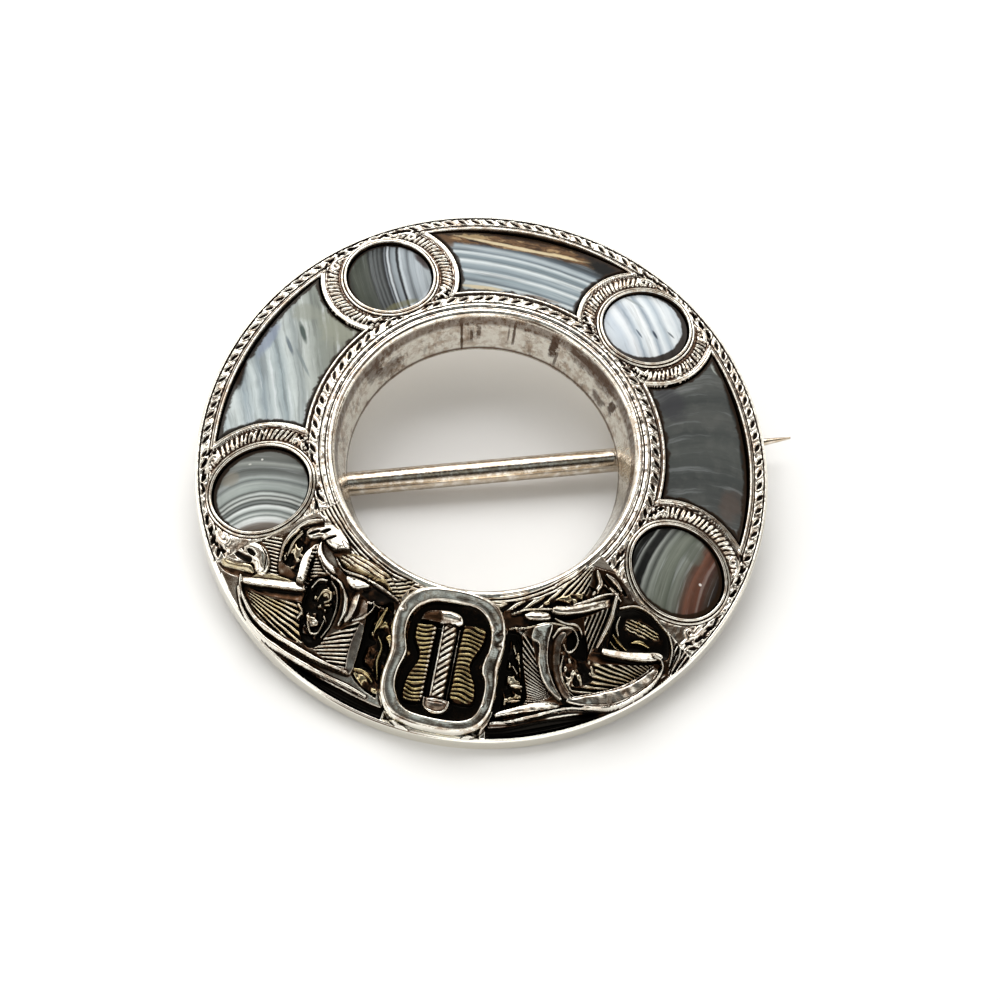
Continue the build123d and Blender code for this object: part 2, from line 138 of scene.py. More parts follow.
def to_line(x, y, line):
    """Distance to a line of points, and the share of its length where it is nearest."""
    best = np.full(x.shape, 1e9)
    share = np.zeros(x.shape)
    lengths = np.hypot(*np.diff(line, axis=0).T)
    total = lengths.sum()
    done = 0.0
    for (x0, y0), (x1, y1), length in zip(line[:-1], line[1:], lengths):
        dx, dy = (x1 - x0) / length, (y1 - y0) / length
        along = np.clip((x - x0) * dx + (y - y0) * dy, 0, length)
        gap = np.hypot(x - x0 - along * dx, y - y0 - along * dy)
        closer = gap < best
        best = np.where(closer, gap, best)
        share = np.where(closer, (done + along) / total, share)
        done += length
    return best, share


def within(x, y, corners):
    """True inside a closed outline."""
    inside = np.zeros(x.shape, bool)
    for (x0, y0), (x1, y1) in zip(corners, np.roll(corners, -1, axis=0)):
        if y0 == y1:
            continue
        crosses = (y0 > y) != (y1 > y)
        inside ^= crosses & (x < (x1 - x0) * (y - y0) / (y1 - y0) + x0)
    return inside


def depth_inside(x, y, outline):
    """Distance inside a closed outline; negative outside."""
    gap, _ = to_line(x, y, outline)
    return np.where(within(x, y, outline), gap, -gap)


def box_depth(x, y, box):
    """Distance inside an upright box; negative outside."""
    low_x, high_x, low_y, high_y = box
    return np.minimum(np.minimum(x - low_x, high_x - x), np.minimum(y - low_y, high_y - y))


def lumps(x, y, size, seed):
    """Smooth random field between 0 and 1, with lumps of about this size."""
    u, v = x / size, y / size
    cell_u, cell_v = np.floor(u), np.floor(v)
    share_u, share_v = u - cell_u, v - cell_v
    share_u = share_u * share_u * (3 - 2 * share_u)
    share_v = share_v * share_v * (3 - 2 * share_v)

    def corner(step_u, step_v):
        return chance((cell_u + step_u) * 157.31 + (cell_v + step_v) * 31.77, seed)

    low = corner(0, 0) + (corner(1, 0) - corner(0, 0)) * share_u
    high = corner(0, 1) + (corner(1, 1) - corner(0, 1)) * share_u
    return low + (high - low) * share_v


def chance(count, seed):
    """A fixed scatter between 0 and 1 for each count."""
    return np.modf(np.abs(np.sin(count * 12.9898 + seed * 78.233) * 43758.5453))[0]


class Relief:
    """Heights of cast and engraved work over the plain front, on a grid of points."""

    # How soft the outlines of facets, rough grounds and engraved fields are
    FACET_EDGE = 0.10
    ROUGH_EDGE = 0.25
    LINES_EDGE = 0.08
    SKIRT = 0.08  # width of the dark line along a fold's foot
    LEAST = 1e-6  # so that a strip has some width at its very ends

    def __init__(self, x, y):
        self.x, self.y = x, y
        self.radius = np.hypot(x, y)
        self.turn = np.degrees(np.arctan2(y, x)) % 360
        self.height = np.zeros(x.shape)
        # Tarnish, which in the polished hollow and on some facets is painted dark reflection.
        self.dark = np.zeros(x.shape)
        self.gilt = np.zeros(x.shape)
        self.clean = np.zeros(x.shape)

    def carve(self, work):
        """Lays the rows of a table of work in their order."""
        for kind, points, *sizes in work:
            getattr(self, kind)(points, *sizes)

    def near(self, line, margin):
        """Grid points in the box round a line."""
        low, high = line.min(axis=0) - margin, line.max(axis=0) + margin
        box = (self.x > low[0]) & (self.x < high[0]) & (self.y > low[1]) & (self.y < high[1])
        return np.nonzero(box)

    def inside(self, corners, edge):
        """Points near an outline, their distance inside it, and a soft mask."""
        outline = curve_through([*corners, corners[0]], 4)
        spot = self.near(outline, edge)
        x, y = self.x[spot], self.y[spot]
        depth = depth_inside(x, y, outline)
        return spot, x, y, depth, smooth(-edge / 2, edge / 2, depth)

    def beside(self, points, width):
        """Points near a curve, their distance from it, and the share of its length there."""
        line = curve_through(points)
        spot = self.near(line, width)
        return spot, *to_line(self.x[spot], self.y[spot], line)

    def cover(self, share, height, dark=None):
        """Replaces what is there by a level, and by its tarnish where that is given."""
        self.height += (height - self.height) * share
        if dark is not None:
            self.dark += (dark - self.dark) * share

    def groove(self, share, depth, dark):
        """Sinks and darkens what is there."""
        self.height -= depth * share
        self.dark = np.maximum(self.dark, dark * share)

    def paint(self, spot, share, height, dark, gilt):
        """Lays a height, tarnish and gilding over what is there."""
        for table, value in ((self.height, height), (self.dark, dark), (self.gilt, gilt)):
            table[spot] += (value - table[spot]) * share
        self.clean[spot] *= 1 - share

    @staticmethod
    def swell(share, ends):
        """Width along a strip: full in the middle, with the given shares at its ends."""
        first = ends[0] + (1 - ends[0]) * np.clip(share / 0.4, 0, 1) ** 0.7
        last = ends[1] + (1 - ends[1]) * np.clip((1 - share) / 0.4, 0, 1) ** 0.7
        return np.minimum(first, last)

    def ground(self, corners, level, slope, swelling, dark, gilt):
        """Facet or pillow inside an outline, with a dark line round its foot."""
        spot, x, y, depth, share = self.inside(corners, self.FACET_EDGE)
        middle = np.mean(corners, axis=0)
        height = level + slope[0] * (x - middle[0]) + slope[1] * (y - middle[1])
        height += swelling * (1 - (1 - np.clip(depth / 0.5, 0, 1)) ** 2)
        height += 0.05 * (lumps(x, y, 0.45, 1) - 0.5)
        # A facet's tarnish is partly painted dark reflection, where the facet is coloured dark to
        # look as it reflects.
        patch = dark + 0.35 * dark * (lumps(x, y, 0.3, 2) - 0.5)
        foot = np.exp(-((np.minimum(depth, 0) / 0.07) ** 2)) * (depth < 0)
        self.dark[spot] = np.maximum(self.dark[spot], 0.8 * foot)
        self.paint(spot, share, height, patch, gilt)

    def rough(self, corners, level, size, rise, seed, dark, gilt):
        """Uncleaned cast ground: lumps that catch the light out of a dark floor."""
        spot, x, y, _, share = self.inside(corners, self.ROUGH_EDGE)
        coarse = lumps(x * 0.9 + y * 0.5, y - x * 0.4, size, seed)
        fine = lumps(x + y * 0.3, y, size * 0.45, seed + 1)
        top = 0.68 * coarse + 0.32 * fine
        bright = smooth(0.50, 0.70, top)
        height = level + rise * (smooth(0.25, 0.8, top) - 0.3)
        self.paint(spot, share, height, dark * (1 - 0.9 * bright), gilt * (0.5 + 0.5 * coarse))

    def stripes(self, corners, counted, depth, dark, gilt):
        """Engraved lines inside an outline: bright ridges between dark cuts."""
        spot, x, y, _, share = self.inside(corners, self.LINES_EDGE)
        wobble = 0.30 * (lumps(x, y, 0.9, 3) - 0.5)
        cut = (0.5 - 0.5 * np.cos(2 * pi * (counted(spot, x, y) + wobble))) ** 1.2
        ridge = 0.55 + 0.45 * lumps(x, y, 0.6, 4)
        tone = dark * smooth(0.25, 0.75, cut) + 0.30 * dark * (1 - ridge)
        self.height[spot] -= depth * cut * share
        self.dark[spot] += (np.clip(tone, 0, 1) - self.dark[spot]) * share
        self.gilt[spot] += (gilt * (0.4 + 0.6 * lumps(x, y, 1.1, 5)) - self.gilt[spot]) * share

    def lines(self, corners, lean, pitch, *metal):
        """Parallel engraved lines."""

        def counted(spot, x, y):
            return (y * cos(radians(lean)) - x * sin(radians(lean))) / pitch

        self.stripes(corners, counted, *metal)

    def fan(self, corners, focus, pitch, *metal):
        """Engraved lines that spread from a focus."""

        def counted(spot, x, y):
            return np.degrees(np.arctan2(y - focus[1], x - focus[0])) % 360 / pitch

        self.stripes(corners, counted, *metal)

    def rim(self, corners, pitch, *metal):
        """Engraved lines that follow the rim of the hole."""

        def counted(spot, x, y):
            turn = np.radians(self.turn[spot])
            return self.radius[spot] / pitch + 0.35 * np.sin(turn * 7) + turn * 1.2

        self.stripes(corners, counted, *metal)

    def fold(self, points, width, height, ends, dark, gilt):
        """Raised fold; its top is bright, and a dark line follows its foot."""
        spot, gap, share = self.beside(points, width)
        gap = gap + 0.05 * (lumps(self.x[spot], self.y[spot], 0.5, 6) - 0.5)
        half = width / 2 * self.swell(share, ends) + self.LEAST
        across = np.clip(gap / half, 0, 1)
        now = self.height[spot]
        rise = now + (height - now) * (1 - across**2) ** 0.5
        raised = np.where(across < 1, np.maximum(now, rise), now)
        skirt = np.exp(-(((gap - half) / self.SKIRT) ** 2)) * (gap > half)
        self.height[spot] = raised - 0.05 * skirt
        top = smooth(1.0, 0.8, across)
        self.dark[spot] = np.maximum(self.dark[spot] * (1 - top) + dark * top, 0.85 * skirt)
        self.gilt[spot] = self.gilt[spot] * (1 - top) + gilt * top
        self.clean[spot] *= 1 - top

    def ridge(self, points, width, height, ends):
        """Low raised line that leaves its ground as it is."""
        spot, gap, share = self.beside(points, width)
        half = width / 2 * self.swell(share, ends) + self.LEAST
        across = np.clip(gap / half, 0, 1)
        now = self.height[spot]
        rise = height * (1 - across**2) ** 0.5
        self.height[spot] = np.where(across < 1, np.maximum(now, rise), now)
        self.dark[spot] *= 1 - smooth(1.0, 0.7, across)

    def cut(self, points, width, depth=0.24, dark=0.95, ends=(0.3, 0.8)):
        """Dark cut, such as a graver's."""
        spot, gap, share = self.beside(points, width)
        whole = width * self.swell(share, ends) + self.LEAST
        bite = np.clip(1 - 2 * gap / whole, 0, 1) ** 0.8
        self.height[spot] -= depth * bite
        self.dark[spot] = np.maximum(self.dark[spot], dark * smooth(0.05, 0.5, bite))


def stone_place(step):
    """Middle of a stone, and the direction outwards from the middle of the ring there."""
    angle = radians(90 - step * STONE_PITCH)
    outward = cos(angle), sin(angle)
    return (STONE_RADIUS * outward[0], STONE_RADIUS * outward[1]), outward


def oval_distance(x, y, step):
    """Roughly how far a point lies outside an oval stone's edge, and its turn round it."""
    (cx, cy), (ox, oy) = stone_place(step)
    out = (x - cx) * ox + (y - cy) * oy
    side = (y - cy) * ox - (x - cx) * oy
    a, b = OVAL_LONG / 2, OVAL_WIDE / 2
    share = np.hypot(out / a, side / b)
    slope = np.hypot(out / a**2, side / b**2) / np.maximum(share, 1e-6)
    return (share - 1) / slope, np.arctan2(side, out)


def panel_distance(x, y, step):
    """How far a point lies inside a panel's outline; negative outside."""
    radius = np.hypot(x, y)
    inside = np.minimum(PANEL_OUTER_RADIUS - radius, radius - PANEL_INNER_RADIUS)
    for side in (step - 1, step + 1):
        gap, _ = oval_distance(x, y, side)
        inside = np.minimum(inside, gap - PANEL_END_GAP)
    turn = (np.degrees(np.arctan2(y, x)) - (90 - step * STONE_PITCH) + 180) % 360 - 180
    return np.where(np.abs(turn) < STONE_PITCH, inside, -5.0)


def turned(relief, radius, width):
    """Round section of a line turned round the ring."""
    return np.clip(1 - (2 * (relief.radius - radius) / width) ** 2, 0, 1) ** 0.5


def leaf_border(relief, radius, width, pitch, lean, cut_half, region):
    """Lumpy border with pointed brown cuts, all leaning the same way."""
    out = relief.radius - radius
    band = smooth(width / 2 + 0.05, width / 2 - 0.05, np.abs(out)) * region
    around = np.radians(relief.turn) * radius / pitch
    count = np.floor(around)
    jitter, other = chance(count, 1) - 0.5, chance(count, 2) - 0.5
    along = (around - count - 0.5 + 0.2 * jitter) * pitch
    tilt = np.radians(lean * (1 + 0.6 * other))
    aside = out - 0.2 * width * other
    p = along * np.cos(tilt) + aside * np.sin(tilt)
    q = aside * np.cos(tilt) - along * np.sin(tilt)
    length = pitch * (0.46 + 0.12 * jitter)
    almond = 1 - (p / length) ** 2 - np.abs(q) / cut_half
    bite = smooth(0.0, 0.5, almond) * band
    outline = np.exp(-(((almond + 0.55) / 0.22) ** 2)) * band
    swirl = 0.6 * lumps(relief.x, relief.y, 0.40, 21) + 0.4 * lumps(relief.x, relief.y, 0.19, 23)
    low = smooth(0.46, 0.28, swirl) * band * (1 - outline)
    relief.height += band * (0.13 * (swirl - 0.5) - 0.14 * bite + 0.09 * outline)
    relief.dark = np.maximum(relief.dark, np.maximum(0.80 * bite, 0.42 * low))


def engraved_ground(relief, region):
    """Uneven brown ground between the turned lines."""
    swirl = 0.5 * lumps(relief.x, relief.y, 0.55, 41) + 0.5 * lumps(relief.x, relief.y, 0.22, 42)
    relief.height += 0.05 * (swirl - 0.5) * region
    relief.dark = np.maximum(relief.dark, 0.36 * smooth(0.50, 0.30, swirl) * region)


def stone_surround(relief, stones):
    """Borders, crescents, rims and cells of the part of the ring that carries the stones."""
    engraved_ground(relief, stones)
    for radius, width, depth in BORDER_LINES:
        bead = turned(relief, radius, width)
        relief.height += depth * bead * stones
        if depth < 0:
            relief.dark = np.maximum(relief.dark, 0.9 * smooth(0.3, 0.8, bead) * stones)
    clear = np.ones(relief.radius.shape)
    for step in OVAL_STEPS:
        gap, _ = oval_distance(relief.x, relief.y, step)
        clear *= smooth(0.5, 0.75, gap)
        relief.cover(smooth(0.60, 0.50, gap) * stones, -0.05, 0.88)
    for leaves in (OUTER_LEAVES, INNER_LEAVES):
        leaf_border(relief, *leaves, stones * clear)
    for step in PANEL_STEPS:
        gap = -panel_distance(relief.x, relief.y, step)
        relief.groove(np.exp(-(((gap - 0.30) / 0.05) ** 2)), 0.08, 0.8)
    for oval_step, panel_step in CRESCENTS:
        crescent(relief, oval_step, panel_step)
    for step in OVAL_STEPS:
        corner_scrolls(relief, step)


def crescent(relief, oval_step, panel_step):
    """Hatched bars between an oval's bezel and its panel."""
    gap, turn = oval_distance(relief.x, relief.y, oval_step)
    toward = -1 if panel_step > oval_step else 1
    facing = smooth(0.10, 0.22, toward * np.sin(turn))
    facing *= smooth(PANEL_INNER_RADIUS - 0.55, PANEL_INNER_RADIUS - 0.25, relief.radius)
    facing *= smooth(PANEL_OUTER_RADIUS + 0.5, PANEL_OUTER_RADIUS + 0.2, relief.radius)
    around = turn * (OVAL_LONG / 2 + BARS_MIDDLE) + BAR_LEAN * (gap - BARS_MIDDLE)
    wander = 0.6 * (lumps(relief.x, relief.y, 0.8, 22) - 0.5)
    broken = lumps(relief.x, relief.y, 0.24, 24) - 0.5
    bar = 0.5 + 0.5 * np.cos(2 * pi * (around / BAR_PITCH + wander))
    bar = np.clip(bar + 0.55 * broken, 0, 1)
    ends = smooth(0.60, 0.85, gap) * smooth(1.60, 1.38, gap)
    band = facing * smooth(0.56, 0.64, gap) * smooth(1.62, 1.52, gap)
    relief.cover(band, 0.25 * bar**0.7 * ends - 0.12, 0.70 * smooth(0.45, 0.08, bar * ends))
    line = facing * np.clip(1 - ((gap - 1.80) / 0.12) ** 2, 0, 1) ** 0.5
    relief.height += 0.16 * line
    relief.dark *= 1 - 0.8 * line
    for middle, half in CRESCENT_CUTS:
        relief.groove(facing * np.clip(1 - np.abs(gap - middle) / half, 0, 1), 0.1, 0.85)


def corner_scrolls(relief, step):
    """Cut leaves and a small scroll where an oval's ends meet the two borders."""
    (cx, cy), (ox, oy) = stone_place(step)

    def spot(side, out):
        return cx - oy * side + ox * out, cy + ox * side + oy * out

    for side in (-1, 1):
        for curve, width, height, ends in SCROLLS:
            relief.ridge([spot(side * s, o) for s, o in curve], width, height, ends)
        for s, o, lean, length in CORNER_CUTS:
            along, out = length / 2 * cos(radians(lean)), length / 2 * sin(radians(lean))
            points = [spot(side * (s - along), o - out), spot(side * (s + along), o + out)]
            relief.cut(points, 0.26, 0.16, 0.95, (0.2, 1.0))


# Radius, width and height of the turned lines of the engraved part
BORDER_LINES = [
    (20.86, 0.20, 0.10), (20.71, 0.09, -0.12), (19.99, 0.08, -0.10), (19.74, 0.30, 0.12),
    (12.94, 0.28, 0.12), (12.74, 0.08, -0.10), (11.96, 0.08, -0.09), (11.78, 0.26, 0.06),
    (11.52, 0.08, -0.08), (11.36, 0.07, -0.06),
]
# The same for the part with the ribbon
RIBBON_LINES = [(20.86, 0.20, 0.10), (11.5, 0.07, -0.05)]
# Radius, width, spacing and lean of each border's leaves, and half the width of their cuts
OUTER_LEAVES = (20.36, 0.62, 1.0, 30, 0.15)
INNER_LEAVES = (12.40, 0.60, 1.0, -28, 0.14)
# Bars of the crescents, and the cuts beside them with half their widths, from an oval's edge
BAR_PITCH = 0.39
BAR_LEAN = 0.35
BARS_MIDDLE = 1.1
CRESCENT_CUTS = ((0.53, 0.08), (1.66, 0.05), (1.96, 0.05))
# Steps along the ring and outwards from an oval's middle, in millimetres
SCROLLS = [
    ([(2.35, 3.55), (3.0, 3.45), (3.45, 3.05), (3.3, 2.7), (2.95, 2.8), (3.0, 3.1)],
     0.34, 0.16, (0.5, 0.3)),
    ([(2.2, -3.35), (2.75, -3.3), (3.1, -3.0), (2.9, -2.75)], 0.3, 0.13, (0.3, 0.4)),
]
# The same steps to the middle of each cut, its lean and its length
CORNER_CUTS = [
    (1.2, 4.05, 10, 0.7), (2.2, 3.95, -15, 0.7), (3.1, 3.75, -30, 0.6), (3.8, 3.35, -55, 0.6),
    (1.3, -3.95, 0, 0.6), (2.3, -3.75, 15, 0.6), (3.1, -3.45, 35, 0.5),
]


# Cast ribbon and leaves on each side of the buckle. All points are millimetres seen from above,
# and all levels are above the plain front. Each side is worked from its grounds up to its folds.
# "ground": outline, level, slope to the right and away, swelling, tarnish (on facets partly
# painted dark reflection), gilding
# "rough": outline, level, size of the lumps, their height, seed, tarnish, gilding
# "lines": outline, lean, spacing, depth, tarnish, gilding
# "fan": outline, focus, degrees between lines, depth, tarnish, gilding
# "rim": outline, spacing, depth, tarnish, gilding
# "fold": points, width, height, share of the width at each end, tarnish, gilding
# "cut": points, width
LEFT_WORK = [
    ("ground", [(-17.6, -9.3), (-13.0, -9.2), (-10.6, -7.6), (-10.0, -9.0), (-10.6, -12.6),
                (-15.2, -12.4), (-16.9, -11.6)], -0.08, (0, 0), 0.0, 0.42, 0.25),
    ("lines", [(-14.3, -9.6), (-12.8, -9.3), (-12.6, -11.2), (-11.9, -12.3), (-13.6, -12.2),
               (-13.3, -11.0), (-13.6, -10.3)], -4, 0.25, 0.16, 0.85, 0.3),
    ("ground", [(-12.7, -11.0), (-12.2, -11.0), (-10.9, -12.1), (-11.0, -12.45), (-12.4, -11.9)],
     0.06, (0.1, 0.5), 0.0, 0.55, 0.35),
    ("ground", [(-14.0, -12.1), (-12.8, -12.0), (-11.0, -12.35), (-11.2, -12.55), (-14.2, -12.5)],
     0.14, (0, 0.3), 0.0, 0.28, 0.75),
    ("ground", [(-17.5, -9.7), (-16.0, -9.95), (-14.6, -9.95), (-13.7, -10.4), (-13.2, -11.3),
                (-13.4, -12.1), (-14.1, -12.0), (-14.5, -11.4), (-15.6, -11.7), (-16.7, -11.7),
                (-17.4, -10.9)], 0.22, (0, 0.15), 0.26, 0.0, 0.05),
    ("ground", [(-16.7, -11.2), (-15.6, -11.5), (-14.6, -11.5), (-14.2, -12.1), (-15.2, -12.0),
                (-16.6, -11.8)], 0.18, (0, 0.2), 0.1, 0.25, 0.6),
    ("cut", [(-16.75, -10.15), (-16.0, -10.35)], 0.46),
    ("cut", [(-17.1, -11.0), (-16.2, -10.9)], 0.46),
    ("cut", [(-16.0, -10.75), (-15.3, -11.1), (-14.7, -11.2)], 0.54),
    ("cut", [(-15.0, -10.55), (-14.5, -10.85)], 0.46),
    ("cut", [(-15.5, -10.3), (-15.3, -10.6)], 0.22),
    ("cut", [(-14.1, -10.2), (-13.6, -10.8), (-13.5, -11.8)], 0.12),
    ("rough", [(-12.3, -9.5), (-11.7, -8.7), (-10.9, -8.4), (-10.7, -9.4), (-11.0, -11.6),
               (-11.6, -11.4), (-12.4, -10.9)], -0.12, 0.42, 0.34, 3, 0.85, 0.55),
    ("fold", [(-10.2, -7.85), (-11.2, -8.1), (-12.0, -8.85), (-12.5, -9.9), (-12.55, -11.0)],
     0.42, 0.42, (0.5, 0.5), 0.0, 0.0),
    ("fold", [(-11.4, -8.9), (-11.9, -9.6), (-12.1, -10.6)], 0.24, 0.22, (0.5, 0.4), 0.0, 0.35),
    ("ground", [(-10.9, -8.3), (-10.0, -7.9), (-9.1, -7.9), (-8.4, -8.6), (-7.75, -9.75),
                (-8.4, -9.98), (-9.2, -9.7), (-9.9, -9.1), (-10.7, -9.25), (-11.15, -8.8)],
     0.34, (0.05, -0.42), 0.16, 0.0, 0.0),
    ("fold", [(-8.3, -9.3), (-7.95, -9.75), (-8.5, -9.9)], 0.3, 0.42, (0.5, 0.5), 0.1, 0.0),
    ("rim", [(-10.9, -7.1), (-9.6, -6.2), (-8.3, -8.0), (-5.9, -9.9), (-2.6, -11.15),
             (-3.0, -11.5), (-5.4, -10.9), (-7.3, -9.9), (-8.4, -8.8), (-9.9, -7.6)],
     0.27, 0.14, 0.75, 0.15),
    ("ground", [(-8.9, -10.0), (-7.8, -9.85), (-6.2, -10.2), (-4.8, -10.9), (-3.9, -11.8),
                (-3.5, -12.6), (-4.5, -12.2), (-5.2, -11.6), (-6.8, -11.3), (-8.0, -10.95)],
     0.02, (0.15, 0.35), 0.14, 0.38, 0.85),
    ("lines", [(-8.2, -10.0), (-6.0, -10.2), (-4.8, -10.9), (-5.0, -11.3), (-6.6, -10.9),
               (-8.2, -10.5)], -24, 0.28, 0.10, 0.6, 0.8),
    ("lines", [(-5.0, -11.2), (-2.9, -11.0), (-3.3, -11.8), (-3.8, -12.5), (-4.3, -11.9)],
     17, 0.27, 0.17, 0.9, 0.45),
    ("ground", [(-15.0, -12.6), (-14.3, -14.4), (-12.5, -16.0), (-9.6, -17.0), (-6.3, -17.9),
                (-5.8, -15.5), (-5.5, -13.0), (-6.9, -12.0), (-9.2, -11.2), (-10.0, -9.2),
                (-10.7, -12.5)], 0.28, (0, 0), 0.0, 0.55, 0.25),
    ("lines", [(-10.3, -10.3), (-9.3, -11.1), (-8.9, -11.4), (-9.7, -11.9), (-10.3, -12.3)],
     8, 0.24, 0.2, 0.9, 0.3),
    ("ground", [(-14.3, -13.12), (-12.4, -13.1), (-10.2, -13.05), (-10.15, -13.7), (-12.0, -13.6),
                (-13.4, -13.4)], 0.20, (0.0, -0.3), 0.0, 0.66, 0.0),
    ("fan", [(-14.4, -13.35), (-12.2, -13.75), (-10.2, -13.75), (-10.0, -15.2), (-9.8, -16.4),
             (-12.0, -15.75), (-13.5, -14.7)], (-16.4, -12.6), 3.3, 0.30, 1.0, 0.85),
    ("ground", [(-8.9, -11.6), (-8.1, -12.1), (-7.75, -13.2), (-7.85, -14.6), (-8.2, -15.6),
                (-8.6, -16.4), (-9.3, -16.6), (-10.0, -15.8), (-10.3, -14.2), (-10.25, -12.8),
                (-9.8, -11.9)], -0.30, (0, 0), 0.0, 1.0, 0.0),
    ("rough", [(-9.6, -12.2), (-8.8, -12.1), (-8.1, -12.7), (-8.1, -13.8), (-8.9, -14.0),
               (-9.6, -13.4)], -0.12, 0.36, 0.42, 7, 0.9, 0.6),
    ("rough", [(-9.9, -14.2), (-8.9, -14.1), (-8.4, -14.6), (-8.7, -15.8), (-9.5, -16.0),
               (-10.0, -15.2)], -0.26, 0.40, 0.34, 11, 1.0, 0.2),
    ("fold", [(-9.9, -12.6), (-9.5, -12.0), (-8.9, -11.95)], 0.26, 0.30, (0.4, 0.6), 0.0, 0.0),
    ("fold", [(-9.3, -13.3), (-9.0, -12.7), (-8.5, -12.7), (-8.4, -13.2), (-8.8, -13.45)],
     0.22, 0.28, (0.5, 0.5), 0.05, 0.45),
    ("fold", [(-9.7, -14.9), (-9.3, -15.6), (-8.8, -15.5), (-8.55, -14.7)],
     0.22, 0.18, (0.5, 0.4), 0.1, 0.2),
    ("fold", [(-10.6, -13.8), (-10.2, -14.3), (-10.45, -14.9)], 0.26, 0.45, (0.3, 0.3), 0.0, 0.2),
    ("fold", [(-8.6, -12.0), (-8.05, -12.7), (-7.85, -13.8), (-8.05, -15.0), (-8.5, -15.9)],
     0.20, 0.50, (0.4, 0.4), 0.35, 0.2),
    ("fan", [(-9.0, -16.55), (-7.9, -15.6), (-6.0, -14.4), (-5.9, -15.6), (-6.45, -17.7),
             (-8.2, -17.1)], (-13.2, -17.6), 2.7, 0.28, 1.0, 0.12),
    ("ground", [(-6.9, -12.4), (-6.45, -12.6), (-6.5, -14.0), (-7.1, -14.7), (-7.1, -13.3)],
     0.42, (0.5, -0.35), 0.0, 0.35, 0.0),
    ("ground", [(-6.4, -12.7), (-5.4, -12.9), (-5.3, -13.5), (-5.9, -14.2), (-6.6, -14.5),
                (-6.45, -13.6)], 0.30, (0.25, -0.2), 0.0, 0.45, 0.0),
    ("ground", [(-6.0, -12.1), (-5.2, -11.85), (-3.8, -12.5), (-3.8, -13.1), (-5.2, -13.2),
                (-6.3, -12.6)], 0.10, (-0.1, -0.2), 0.0, 0.92, 0.0),
    ("ground", [(-5.7, -13.1), (-4.7, -13.0), (-3.9, -13.1), (-3.9, -18.4), (-4.2, -19.0),
                (-5.9, -17.8), (-5.6, -15.5)], -0.50, (0, 0), 0.0, 1.0, 0.0),
    ("rough", [(-4.9, -13.2), (-4.0, -13.2), (-3.7, -15.0), (-3.75, -17.0), (-3.9, -18.5),
               (-4.6, -17.3), (-5.2, -16.9), (-5.2, -15.9), (-4.7, -15.4), (-5.2, -14.9)],
     -0.22, 0.50, 0.5, 5, 0.72, 1.0),
    ("fold", [(-4.35, -13.2), (-4.75, -14.3), (-4.9, -14.9)], 0.36, 0.34, (0.6, 0.2), 0.0, 0.9),
    ("fold", [(-4.6, -15.1), (-4.2, -15.8), (-4.3, -16.8), (-4.05, -17.9)],
     0.26, 0.30, (0.3, 0.2), 0.05, 0.9),
    ("rough", [(-6.2, -17.5), (-5.0, -17.3), (-4.2, -17.9), (-3.9, -18.9), (-5.0, -18.6)],
     -0.15, 0.5, 0.3, 9, 0.7, 0.9),
    ("fold", [(-6.0, -17.5), (-5.0, -17.6), (-4.35, -18.15)], 0.30, 0.20, (0.3, 0.3), 0.05, 0.9),
    # Painted dark reflection: this facet's tarnish of 0.45 makes it read dark grey.
    ("ground", [(-6.0, -14.4), (-5.65, -14.9), (-5.85, -17.7), (-6.35, -17.8), (-6.4, -16.0)],
     0.30, (0.0, 0.0), 0.0, 0.45, 0.0),
    ("fold", [(-6.6, -14.45), (-5.85, -14.1), (-5.3, -13.4), (-5.4, -12.95)],
     0.16, 0.50, (0.5, 0.5), 0.0, 0.0),
    ("fold", [(-5.8, -13.0), (-4.9, -13.15), (-4.6, -13.25)], 0.12, 0.20, (0.6, 0.4), 0.0, 0.0),
    ("fold", [(-8.6, -10.35), (-7.9, -11.1), (-6.5, -11.4), (-5.1, -11.9), (-3.7, -12.55)],
     0.17, 0.42, (0.5, 0.6), 0.0, 0.1),
    ("ground", [(-15.05, -12.5), (-13.0, -12.46), (-10.55, -12.4), (-10.35, -12.7),
                (-10.45, -13.02), (-13.0, -13.06), (-14.7, -13.0)], 0.60, (0.0, -0.5), 0.07, 0.0,
     0.0),
    ("ground", [(-10.97, -12.5), (-10.97, -10.8), (-10.65, -9.95), (-10.0, -9.1), (-10.02, -9.9),
                (-10.3, -11.0), (-10.38, -12.5)], 0.64, (-0.35, -0.42), 0.08, 0.0, 0.0),
    ("lines", [(-10.42, -9.9), (-10.15, -9.8), (-10.2, -12.5), (-10.4, -12.5)], 12, 0.3, 0.3, 0.8,
     0.0),
    ("ground", [(-9.98, -9.2), (-9.62, -10.1), (-9.05, -10.75), (-8.1, -11.4), (-8.5, -11.55),
                (-9.45, -11.0), (-10.0, -10.2)], 0.56, (-0.3, -0.45), 0.05, 0.0, 0.0),
    ("fold", [(-9.75, -10.6), (-9.3, -11.2), (-8.5, -11.75)], 0.12, 0.45, (0.5, 0.5), 0.2, 0.0),
    ("ground", [(-8.6, -11.2), (-8.2, -11.1), (-6.9, -12.2), (-7.1, -12.5), (-8.0, -11.9)],
     0.40, (0.0, 0.2), 0.0, 0.62, 0.1),
    ("fold", [(-8.7, -11.65), (-7.9, -12.1), (-7.5, -12.7)], 0.16, 0.55, (0.5, 0.8), 0.0, 0.0),
    ("fold", [(-7.55, -12.6), (-7.3, -13.2), (-7.25, -14.1), (-7.45, -14.9)],
     0.36, 0.80, (0.6, 0.3), 0.0, 0.0),
    ("ground", [(-7.7, -11.4), (-6.9, -11.55), (-5.9, -11.95), (-6.0, -12.15), (-6.85, -12.35),
                (-7.3, -12.1)], 0.55, (0.1, -0.5), 0.10, 0.0, 0.0),
    ("fold", [(-15.05, -12.5), (-14.75, -13.6), (-13.5, -15.15), (-11.9, -16.1), (-9.8, -16.95),
